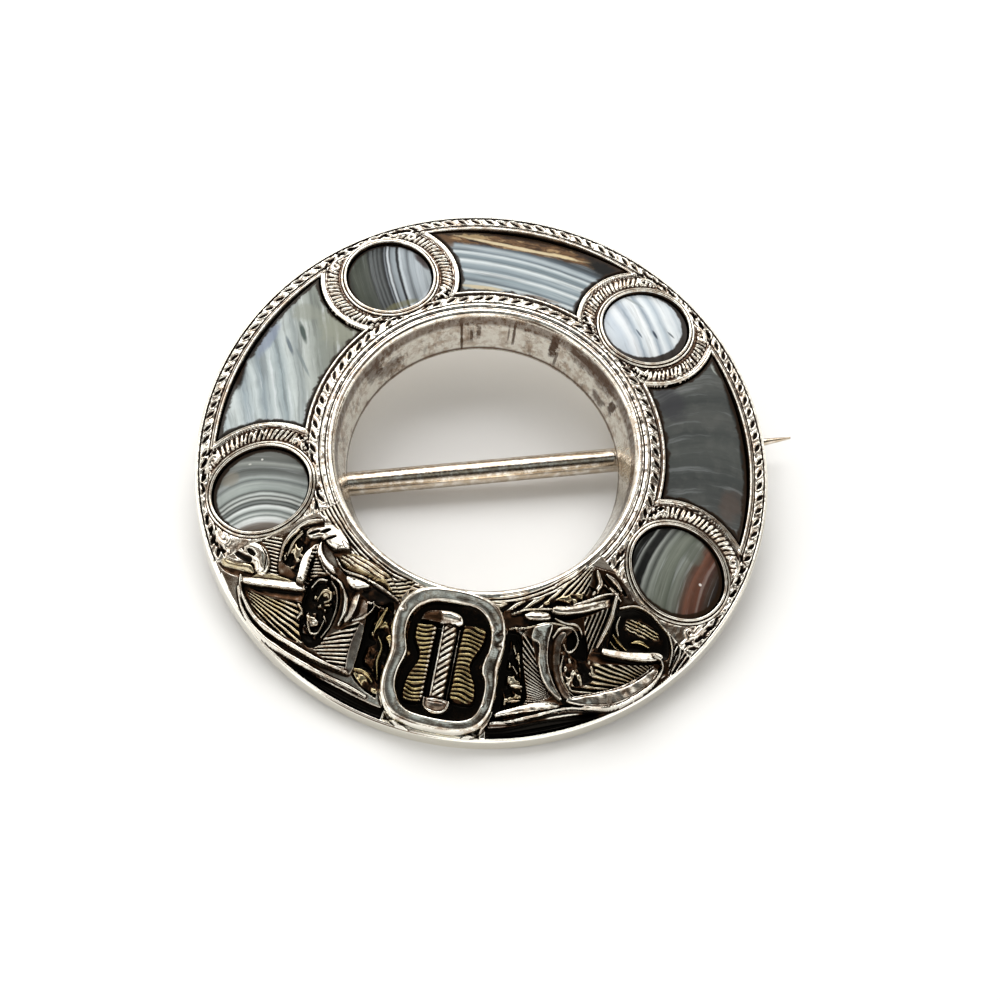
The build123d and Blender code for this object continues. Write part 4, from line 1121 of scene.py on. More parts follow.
# Outlines of the buckle's frame, from the middle of its right side upwards and round
BUCKLE_OUTER = [
    (4.12, -15.95), (4.2, -14.2), (3.95, -12.7), (3.1, -11.65), (1.6, -11.25), (0.1, -11.17),
    (-1.4, -11.27), (-2.75, -11.75), (-3.55, -12.75), (-3.85, -14.2), (-3.62, -15.95),
    (-3.85, -17.7), (-3.62, -19.2), (-2.75, -20.2), (-1.3, -20.62), (0.3, -20.7),
    (1.9, -20.62), (3.2, -20.15), (4.05, -19.1), (4.25, -17.6),
]
BUCKLE_INNER = [
    (2.62, -15.9), (2.8, -15.55), (3.08, -14.9), (3.08, -13.9), (2.7, -12.95), (1.8, -12.3),
    (0.2, -12.22), (-1.3, -12.38), (-2.1, -12.95), (-2.5, -13.8), (-2.48, -14.9),
    (-2.25, -15.6), (-2.08, -15.9), (-2.25, -16.2), (-2.5, -17.0), (-2.58, -18.0),
    (-2.3, -19.1), (-1.4, -19.7), (0.3, -19.85), (2.05, -19.72), (3.0, -19.15), (3.32, -18.0),
    (3.25, -16.9), (2.85, -16.25),
]
BUCKLE_MIDDLE = (0.25, -15.95)
BUCKLE_BAR = 1.2
BUCKLE_SPREAD = 1.05  # of the frame's section, so that it fits between the outlines
# Section of the frame: distance from its outer edge, and lift above the front
BUCKLE_SECTION = [
    (0.0, -0.3), (0.0, 0.28), (0.03, 0.50), (0.09, 0.66), (0.17, 0.77), (0.26, 0.82),
    (0.40, 0.84), (0.60, 0.85), (0.84, 0.85), (0.93, 0.83), (0.99, 0.76), (1.03, 0.62),
]
BUCKLE_FOOT = [(0.35, 0.46), (0.7, 0.36), (0.95, 0.22), (1.0, 0.0), (0.97, -0.3)]
BUCKLE_DENTS = [(3.1, -13.4), (3.75, -13.7), (3.85, -14.4), (3.4, -18.3), (-3.3, -13.1)]


def reach_of(outline, turns):
    """How far an outline lies from the buckle's middle, for each turn round it."""
    cx, cy = BUCKLE_MIDDLE
    line = curve_through(outline + outline[:1], 12)[:-1]
    turn = np.arctan2(line[:, 1] - cy, line[:, 0] - cx) % (2 * pi)
    order = np.argsort(turn)
    reach = np.hypot(line[:, 0] - cx, line[:, 1] - cy)
    return np.interp(turns, turn[order], reach[order], period=2 * pi)


def buckle_frame():
    """Polished frame of the strap buckle, rounded all over."""
    cx, cy = BUCKLE_MIDDLE
    turns = np.linspace(0, 2 * pi, 320, endpoint=False)
    rings = []
    outlines = reach_of(BUCKLE_INNER, turns), reach_of(BUCKLE_OUTER, turns)
    for turn, low, outer in zip(turns, *outlines):
        bar = min(BUCKLE_BAR, (outer - low) / BUCKLE_SPREAD)
        top = outer - bar
        section = [(outer - inset * bar, lift) for inset, lift in BUCKLE_SECTION]
        section += [(top + (low - top) * share, lift) for share, lift in BUCKLE_FOOT]
        ring = []
        for reach, lift in section:
            x, y = cx + reach * cos(turn), cy + reach * sin(turn)
            for dent_x, dent_y in BUCKLE_DENTS:
                lift -= 0.09 * np.exp(-((x - dent_x) ** 2 + (y - dent_y) ** 2) / 0.03)
            lift += 0.03 * sin(turn * 9) * sin(turn * 4 + 1)
            ring.append(on_top(x, y, lift))
        rings.append(ring)
    return lofted("buckle_frame", rings, True)


# Back of the ring, the hinge's lugs and the catch
PIN_TURN = 17.9
PIN_OFFSET = 0.35
PIN_DROP = 1.2
HINGE_ALONG = -16.3
ROOT = 0.3  # how far lugs and catch reach into the ring
LUG_RADIUS = 1.0
LUG_THICKNESS = 0.7
LUG_NEAR = 0.7
LUG_HOLE = 0.40
CATCH_ALONG = 16.7
CATCH_LENGTH = 2.4
CATCH_BORE = 1.25
CATCH_WALL = 0.45
CATCH_SINK = 0.5
CATCH_HALF_MOUTH = 0.682
CATCH_BEND = 0.11
CATCH_FOOT_HALF = 0.8
BACK_TURNS = 360
BACK_ROWS = 10


def along_pin(along, across, height):
    """Point from its place on the pin's line, across it, and above the back."""
    turn = radians(PIN_TURN)
    across += PIN_OFFSET
    return (
        along * cos(turn) - across * sin(turn),
        along * sin(turn) + across * cos(turn),
        height,
    )


def flat_back(name):
    """Back of the ring."""
    turns = np.linspace(0, 2 * pi, BACK_TURNS, endpoint=False)
    rings = [
        [(r * cos(t), r * sin(t), 0.0) for t in turns]
        for r in np.linspace(HOLE_RADIUS, FOOT_RADIUS, BACK_ROWS)
    ]
    return lofted(name, rings, tables={"recess": np.full(BACK_ROWS * BACK_TURNS, 0.25)})


def hinge_lug(side):
    """Rounded ear with the rivet's hole, hanging from the back."""
    outer, inner = [], []
    for turn in np.linspace(0, 360, 48, endpoint=False):
        u, v = cos(radians(turn)), sin(radians(turn))
        reach = LUG_RADIUS
        if v > 0:
            reach = min(LUG_RADIUS / max(abs(u), 1e-6), (PIN_DROP + ROOT) / v)
        inner.append((LUG_HOLE * u, LUG_HOLE * v))
        outer.append((reach * u, reach * v))
    low, high = sorted((side * LUG_NEAR, side * (LUG_NEAR + LUG_THICKNESS)))
    corners = ((inner, low), (outer, low), (outer, high), (inner, high))
    return lofted("hinge_lug", [
        [along_pin(HINGE_ALONG + u, depth, v - PIN_DROP) for u, v in points]
        for points, depth in corners
    ], True)


def catch_curl():
    """Skins of the curled catch and of its foot."""
    outer = CATCH_BORE + CATCH_WALL
    ends = CATCH_ALONG - CATCH_LENGTH / 2, CATCH_ALONG + CATCH_LENGTH / 2

    def curl(radius, along):
        mouth = np.arcsin(CATCH_HALF_MOUTH / radius)
        return [
            along_pin(along, CATCH_BEND - radius * cos(turn),
                      radius * sin(turn) - PIN_DROP - CATCH_SINK)
            for turn in np.linspace(mouth, 2 * pi - mouth, 40) - pi / 2
        ]

    def foot(height):
        first, last = ends
        return [
            along_pin(along, CATCH_BEND + side * CATCH_FOOT_HALF, height)
            for along, side in ((first, -1), (last, -1), (last, 1), (first, 1))
        ]

    walls = [curl(outer, along) + curl(CATCH_BORE, along)[::-1] for along in ends]
    faces = [
        grid_mesh("catch_end", np.array([curl(outer, along), curl(CATCH_BORE, along)]), {})
        for along in ends
    ]
    blocks = [foot(ROOT), foot(outer - 0.05 - PIN_DROP - CATCH_SINK)]
    caps = [build_mesh("foot_cap", np.array(ring), np.array([[0, 1, 2, 3]])) for ring in blocks]
    return [lofted("catch_curl", walls), *faces, *caps, lofted("catch_foot", blocks[::-1])]


# Materials

# Sockets of a mix node that are numbered, since several share a name
MIX_SHARE, MIX_FIRST, MIX_LAST, MIX_COLOUR = 0, 6, 7, 2

# Tones from 0 to 255, as on a screen
DARK_THREAD = (34, 34, 36)
PALE_THREAD = (226, 231, 234)
CLOUD = (112, 112, 108)
CEMENT = (40, 28, 18)
AGATE_IOR = 1.54
AGATE_GLANCE = 0.05


class Value:
    """A shader socket that can be added, scaled and mixed like a number."""

    def __init__(self, look, socket):
        self.look, self.socket = look, socket

    def maths(self, operation, *others, clamp=False):
        return self.look.node(
            "ShaderNodeMath", (self, *others), operation=operation, use_clamp=clamp
        )

    def __add__(self, other):
        return self.maths("ADD", other)

    __radd__ = __add__

    def __sub__(self, other):
        return self.maths("SUBTRACT", other)

    def __rsub__(self, other):
        return self.look.node("ShaderNodeMath", (other, self), operation="SUBTRACT")

    def __mul__(self, other):
        return self.maths("MULTIPLY", other)

    __rmul__ = __mul__

    def __truediv__(self, other):
        return self.maths("DIVIDE", other)

    def __pow__(self, other):
        return self.maths("POWER", other)

    def at_least(self, other):
        return self.maths("MAXIMUM", other)

    def held(self):
        """Kept between 0 and 1."""
        return self.maths("ADD", 0.0, clamp=True)

    def between(self, low, high):
        """0 at low, 1 at high, smooth between them; low may be the larger."""
        first, last, turned_round = (low, high, False) if low < high else (high, low, True)
        return self.look.node(
            "ShaderNodeMapRange",
            {"Value": self, "From Min": first, "From Max": last,
             "To Min": float(turned_round), "To Max": float(not turned_round)},
            interpolation_type="SMOOTHSTEP",
        )


class Look:
    """One material, with its nodes made by short calls."""

    def __init__(self, name, roughness=0.3, metallic=0.0):
        self.material = bpy.data.materials.new(name)
        self.material.use_nodes = True
        self.tree = self.material.node_tree
        self.shader = self.tree.nodes["Principled BSDF"]
        self.shader.inputs["Roughness"].default_value = roughness
        self.shader.inputs["Metallic"].default_value = metallic

    def node(self, kind, inputs=(), out=0, stops=None, **settings):
        made = self.tree.nodes.new(kind)
        for key, setting in settings.items():
            setattr(made, key, setting)
        if stops:
            ramp = made.color_ramp
            while len(ramp.elements) > 1:
                ramp.elements.remove(ramp.elements[-1])
            ramp.elements[0].position, ramp.elements[0].color = stops[0][0], colour(stops[0][1])
            for place, shade in stops[1:]:
                ramp.elements.new(place).color = colour(shade)
        pairs = inputs.items() if isinstance(inputs, dict) else enumerate(inputs)
        for key, given in pairs:
            if isinstance(given, Value):
                self.tree.links.new(given.socket, made.inputs[key])
            else:
                made.inputs[key].default_value = given
        return Value(self, made.outputs[out])

    def feed(self, socket, given):
        self.tree.links.new(given.socket, self.shader.inputs[socket])

    def attribute(self, name):
        return self.node("ShaderNodeAttribute", out="Fac", attribute_name=name)

    def place(self):
        """The piece's own place in the brooch's millimetres."""
        back = LYING.inverted()
        return self.node("ShaderNodeMapping", {
            "Vector": self.node("ShaderNodeTexCoord", out="Object"),
            "Location": back.translation,
            "Rotation": back.to_euler(),
            "Scale": (1 / MM,) * 3,
        }, vector_type="POINT")

    def split(self, vector):
        parts = self.node("ShaderNodeSeparateXYZ", (vector,))
        return [Value(self, socket) for socket in parts.socket.node.outputs]

    def joined(self, x, y, z=0.0):
        return self.node("ShaderNodeCombineXYZ", (x, y, z))

    def noise(self, vector, scale, detail, rough):
        return self.node("ShaderNodeTexNoise", {
            "Vector": vector, "Scale": scale, "Detail": detail, "Roughness": rough,
        }, out="Fac")

    def ramp(self, value, stops):
        return self.node("ShaderNodeValToRGB", (value,), stops=stops)

    def mix(self, share, first, last):
        ends = [end if isinstance(end, Value) else colour(end) for end in (first, last)]
        inputs = {MIX_SHARE: share, MIX_FIRST: ends[0], MIX_LAST: ends[1]}
        return self.node("ShaderNodeMix", inputs, out=MIX_COLOUR, data_type="RGBA")

    def bumped(self, height, distance):
        bump = self.node("ShaderNodeBump", {"Height": height, "Distance": distance})
        self.feed("Normal", bump)


def colour(given):
    """Linear colour from screen values of 0 to 255."""
    if len(given) == 4:
        return tuple(given)
    screen = [part / 255 for part in given]
    linear = [c / 12.92 if c <= 0.04045 else ((c + 0.055) / 1.055) ** 2.4 for c in screen]
    return (*linear, 1.0)


# Dark marks down the collar: turn, half its width, both in degrees, lowest and highest point,
# strength
COLLAR_MARKS = [
    (110.4, 0.5, 0.3, 3.0, 0.85), (106.2, 0.6, 1.0, 2.2, 0.7), (103.4, 0.9, 1.5, 2.6, 0.8),
    (91.0, 0.35, 1.4, 2.7, 0.6), (88.8, 0.5, 0.9, 3.3, 0.85), (71.6, 1.5, 1.3, 3.2, 1.0),
    (69.4, 0.6, 0.4, 2.2, 0.7), (51.0, 11.0, 2.1, 3.4, 0.6), (36.0, 1.8, 1.2, 2.5, 0.95),
    (44.0, 3.5, 0.6, 1.3, 0.7), (144.0, 6.0, 0.9, 2.0, 0.55), (152.0, 4.0, 1.6, 3.0, 0.6),
]


def collar_marks(turn, z, wobble):
    """Where a dark mark lies on the collar."""
    at = z + wobble * 0.45
    found = 0.0
    for middle, half, low, high, strength in COLLAR_MARKS:
        off = (turn - radians(middle)) / radians(half)
        inside = (off * off + wobble).between(1.6, 0.6) * strength
        between = at.between(low - 0.3, low + 0.3) * at.between(high + 0.3, high - 0.3)
        found = inside * between + found
    return found


def silver_look(look):
    """Silver, bright on what stands out, brownish between and nearly black in the hollows; the
    polished hollow's black is painted dark reflection.
    """
    made = Look("old_silver", 0.2, 1.0)
    place = made.place()
    x, y, z = made.split(place)
    radius = (x * x + y * y) ** 0.5
    turn = made.node("ShaderNodeMath", (y, x), operation="ARCTAN2")
    patches = made.noise(place, 0.55, 4, 0.6)
    blotches = made.noise(place, 1.7, 4, 0.65)
    grain = made.noise(place, 7.0, 3, 0.6)
    scratches = made.noise(made.joined(x * 0.9, y * 6.0, z), 2.2, 2, 0.5)
    dark, recess, gilt, clean = map(made.attribute, ("dark", "recess", "gilt", "clean"))
    # dark carries tarnish and, in the polished hollow and on some facets, painted dark reflection.
    depth = (dark * 0.95 + recess * 0.55 + (patches - 0.5) * 0.35 * (recess + 0.25)
             + (grain - 0.5) * 0.25 * (dark + recess + 0.1)).held()

    rubbed = radius.between(20.72, 20.45) * 0.8
    worn = blotches.between(0.42, 0.60) * patches.between(0.30, 0.58) * rubbed
    bright = made.mix(worn * (1 - clean), look.silver, look.warm_silver)
    gold = made.mix(grain.between(0.35, 0.65), look.gilt, look.pale_gilt)
    metal = made.mix(gilt.held(), bright, gold)
    browned = grain * blotches.between(0.4, 0.6) * depth.between(1.0, 0.8)
    # The tarnish colours here also give the painted dark reflection of the hollow and of dark
    # facets.
    stain = made.mix(browned, look.tarnish, look.brown_tarnish)
    brown = made.mix(depth.between(0.15, 0.60), metal, look.brown_tarnish)
    tint = made.mix(depth.between(0.55, 0.95), brown, stain)

    collar = radius.between(10.92, 10.80) * z.between(0.02, 0.08)
    streaks = made.noise(made.joined(turn * 11.0, z * 0.5), 2.6, 3, 0.6)
    # Painted shade: a band darkened all round the collar just under the lip.
    lip_shade = z.between(2.55, 2.95) * z.between(3.75, 3.55)
    cuts = streaks.between(0.47, 0.60) * patches.between(0.46, 0.62)
    foot = z.between(0.42, 0.22) * z.between(0.08, 0.14)
    broken = made.noise(made.joined(turn * 14.0, z * 2.2), 1.0, 4, 0.7) - 0.5
    marks = collar_marks(turn, z, broken * 4.5)
    # The collar's brown is partly painted shade under the lip, and partly brown cuts, dark marks
    # and a darker band at its foot.
    stain_and_lip_shade = (collar * (lip_shade * (0.35 + streaks * 0.9) + cuts * 0.55 + marks + foot)).held()
    tint = made.mix(stain_and_lip_shade * 0.92, tint, look.collar_stain_and_shade)
    tint = made.mix((collar * marks * 0.6).held(), tint, look.brown_tarnish)

    dull = depth * 0.30 * (1 - clean) + collar * 0.08
    made.feed("Base Color", tint)
    made.feed("Roughness", (0.05 + scratches * 0.10 + dull).held())
    made.bumped(scratches * 0.4 + grain * 0.3 + collar * streaks * 8.0, 0.000012)
    return made.material


def pin_look(look):
    """Polished wire, a little golden where it isn't rubbed."""
    made = Look("gilded_pin", 0.14, 1.0)
    place = made.place()
    wear = made.noise(place, 1.6, 4, 0.6)
    grain = made.noise(place, 9.0, 3, 0.6)
    made.feed("Base Color", made.mix(wear.between(0.42, 0.68), look.pin, look.pin_worn))
    made.feed("Roughness", 0.08 + grain * 0.14)
    made.bumped(grain, 0.00001)
    return made.material


def agate(name, coordinate, stops, threads, cloud, edge, extras):
    """Banded agate: colours by a coordinate across the bands, broken up by fine streaks."""
    pitch, darker, paler, warp = threads
    made = Look(name, 0.30)
    place = made.place()
    x, y, _ = made.split(place)
    soft = made.noise(place, 0.45, 3, 0.5) - 0.5
    fine = made.noise(place, 1.7, 4, 0.6) - 0.5
    across, along = coordinate(x, y)
    across = across + soft * 0.9 * warp + fine * 0.22 * warp
    low, high = stops[0][0], stops[-1][0]
    bands = made.ramp((across - low) / (high - low),
                      [((at - low) / (high - low), tone) for at, tone in stops])
    lines = made.noise(made.joined(across * pitch, along * 0.12), 1.0, 4, 0.6)
    clouds = made.noise(place, 0.9, 4, 0.6)
    tint = made.mix(lines.between(0.50, 0.36) * darker, bands, DARK_THREAD)
    tint = made.mix(lines.between(0.54, 0.68) * paler, tint, PALE_THREAD)
    tint = made.mix(clouds.between(0.45, 0.7) * cloud, tint, CLOUD)
    for extra in extras:
        tint = extra(made, x, y, tint)
    made.feed("Base Color", made.mix(edge(made, x, y), tint, CEMENT))
    made.shader.inputs["IOR"].default_value = AGATE_IOR
    made.shader.inputs["Specular IOR Level"].default_value = AGATE_GLANCE
    made.bumped(made.noise(place, 2.5, 3, 0.5), 0.00001)
    return made.material


def spot(cx, cy, size_x, size_y, tone, strength=1.0, lean=0.0, broken=1.2):
    """Soft broken patch of another colour; a few of them are painted highlights."""
    ahead, aside = cos(radians(lean)), sin(radians(lean))

    def paint(made, x, y, tint):
        dx, dy = x - cx, y - cy
        u = (dx * ahead + dy * aside) / size_x
        v = (dy * ahead - dx * aside) / size_y
        wobble = made.noise(made.joined(x, y), 1.1, 5, 0.65) - 0.5
        share = (u * u + v * v + wobble * broken * 2).between(1.5, 0.2)
        return made.mix(share * strength, tint, tone)

    return paint


def amber_strip(made, x, y, tint):
    """Clear brown layer along the outer side of the top panel."""
    wobble = made.noise(made.joined(x, y), 0.8, 4, 0.6)
    share = (y + x * x * 0.012 + (wobble - 0.5) * 0.6).between(17.65, 17.95)
    stir = made.noise(made.joined(x * 0.45, y * 1.6), 1.1, 4, 0.6)
    amber = made.ramp(stir, [
        (0.30, (24, 17, 12)), (0.42, (66, 47, 30)), (0.50, (108, 80, 52)), (0.56, (78, 57, 38)),
        (0.64, (160, 132, 96)), (0.75, (100, 75, 50)),
    ])
    return made.mix(share, tint, amber)


def oval_reach(x, y, step, margin, shift=(0.0, 0.0)):
    """1 on an oval that is wider than a stone by a margin, less inside."""
    (cx, cy), (ox, oy) = stone_place(step)
    dx, dy = x - (cx + shift[0]), y - (cy + shift[1])
    out = (dx * ox + dy * oy) / (OVAL_LONG / 2 + margin)
    side = (dy * ox - dx * oy) / (OVAL_WIDE / 2 + margin)
    return (out * out + side * side) ** 0.5


def ragged(made, x, y, scale):
    """Uneven number round 0, for chipped edges."""
    return made.noise(made.joined(x, y), scale, 4, 0.6) - 0.5


def panel_edge(step):
    """Brown cement round a panel."""

    def edge(made, x, y):
        radius = (x * x + y * y) ** 0.5 + ragged(made, x, y, 1.3) * 0.9
        share = radius.between(PANEL_OUTER_RADIUS - 0.48, PANEL_OUTER_RADIUS - 0.28)
        share = share.at_least(radius.between(PANEL_INNER_RADIUS + 0.38, PANEL_INNER_RADIUS + 0.2))
        for side in (step - 1, step + 1):
            reach = oval_reach(x, y, side, PANEL_END_GAP) + ragged(made, x, y, 1.3) * 0.12
            share = share.at_least(reach.between(1.065, 1.035))
        return share * 0.92

    return edge


# How much of its cell each oval stone fills, and how far it sits from the middle
OVAL_SEATS = {
    -3: (0.94, (0.16, -0.12)),
    -1: (0.955, (0.05, -0.05)),
    1: (0.90, (-0.20, 0.16)),
    3: (0.935, (-0.14, 0.10)),
}


def oval_edge(step):
    """Dark gap round an oval stone."""
    size, shift = OVAL_SEATS[step]

    def edge(made, x, y):
        reach = oval_reach(x, y, step, 0.0, shift) + ragged(made, x, y, 1.6) * 0.08
        return reach.between(size - 0.015, size + 0.02) * 0.95

    return edge


# Places across and along each stone's bands


def left_bands(x, y):
    return x * 0.92 + y * 0.40 + (x + 18) * (x + 18) * 0.03, y * 0.92 - x * 0.40


def top_bands(x, y):
    return y + (x + 2) * (x + 2) * 0.020, x


def right_bands(x, y):
    return y - x * 0.25 + (x - 16) * (x - 16) * 0.08, x


def lower_left_bands(x, y):
    return y + (x + 13.6) * (x + 13.6) * 0.0186 * (-3.2 - y), x


def upper_left_bands(x, y):
    return x * 0.96 + y * 0.22 - (y - 15.5) * (y - 15.5) * 0.035, y


def upper_right_bands(x, y):
    return x * 0.80 + y * 0.56 + (x - 8) * (x - 8) * 0.03, y - x


def lower_right_bands(x, y):
    return x - (y + 8.5) * (y + 8.5) * 0.05, y


def stripes(first, last, pitch, *tones):
    """Stops that repeat a few tones at a pitch."""
    count = int(round((last - first) / pitch))
    return [(first + n * pitch, tones[n % len(tones)]) for n in range(count + 1)]


PANELS = {"agate_panel_left": -2, "agate_panel_top": 0, "agate_panel_right": 2}
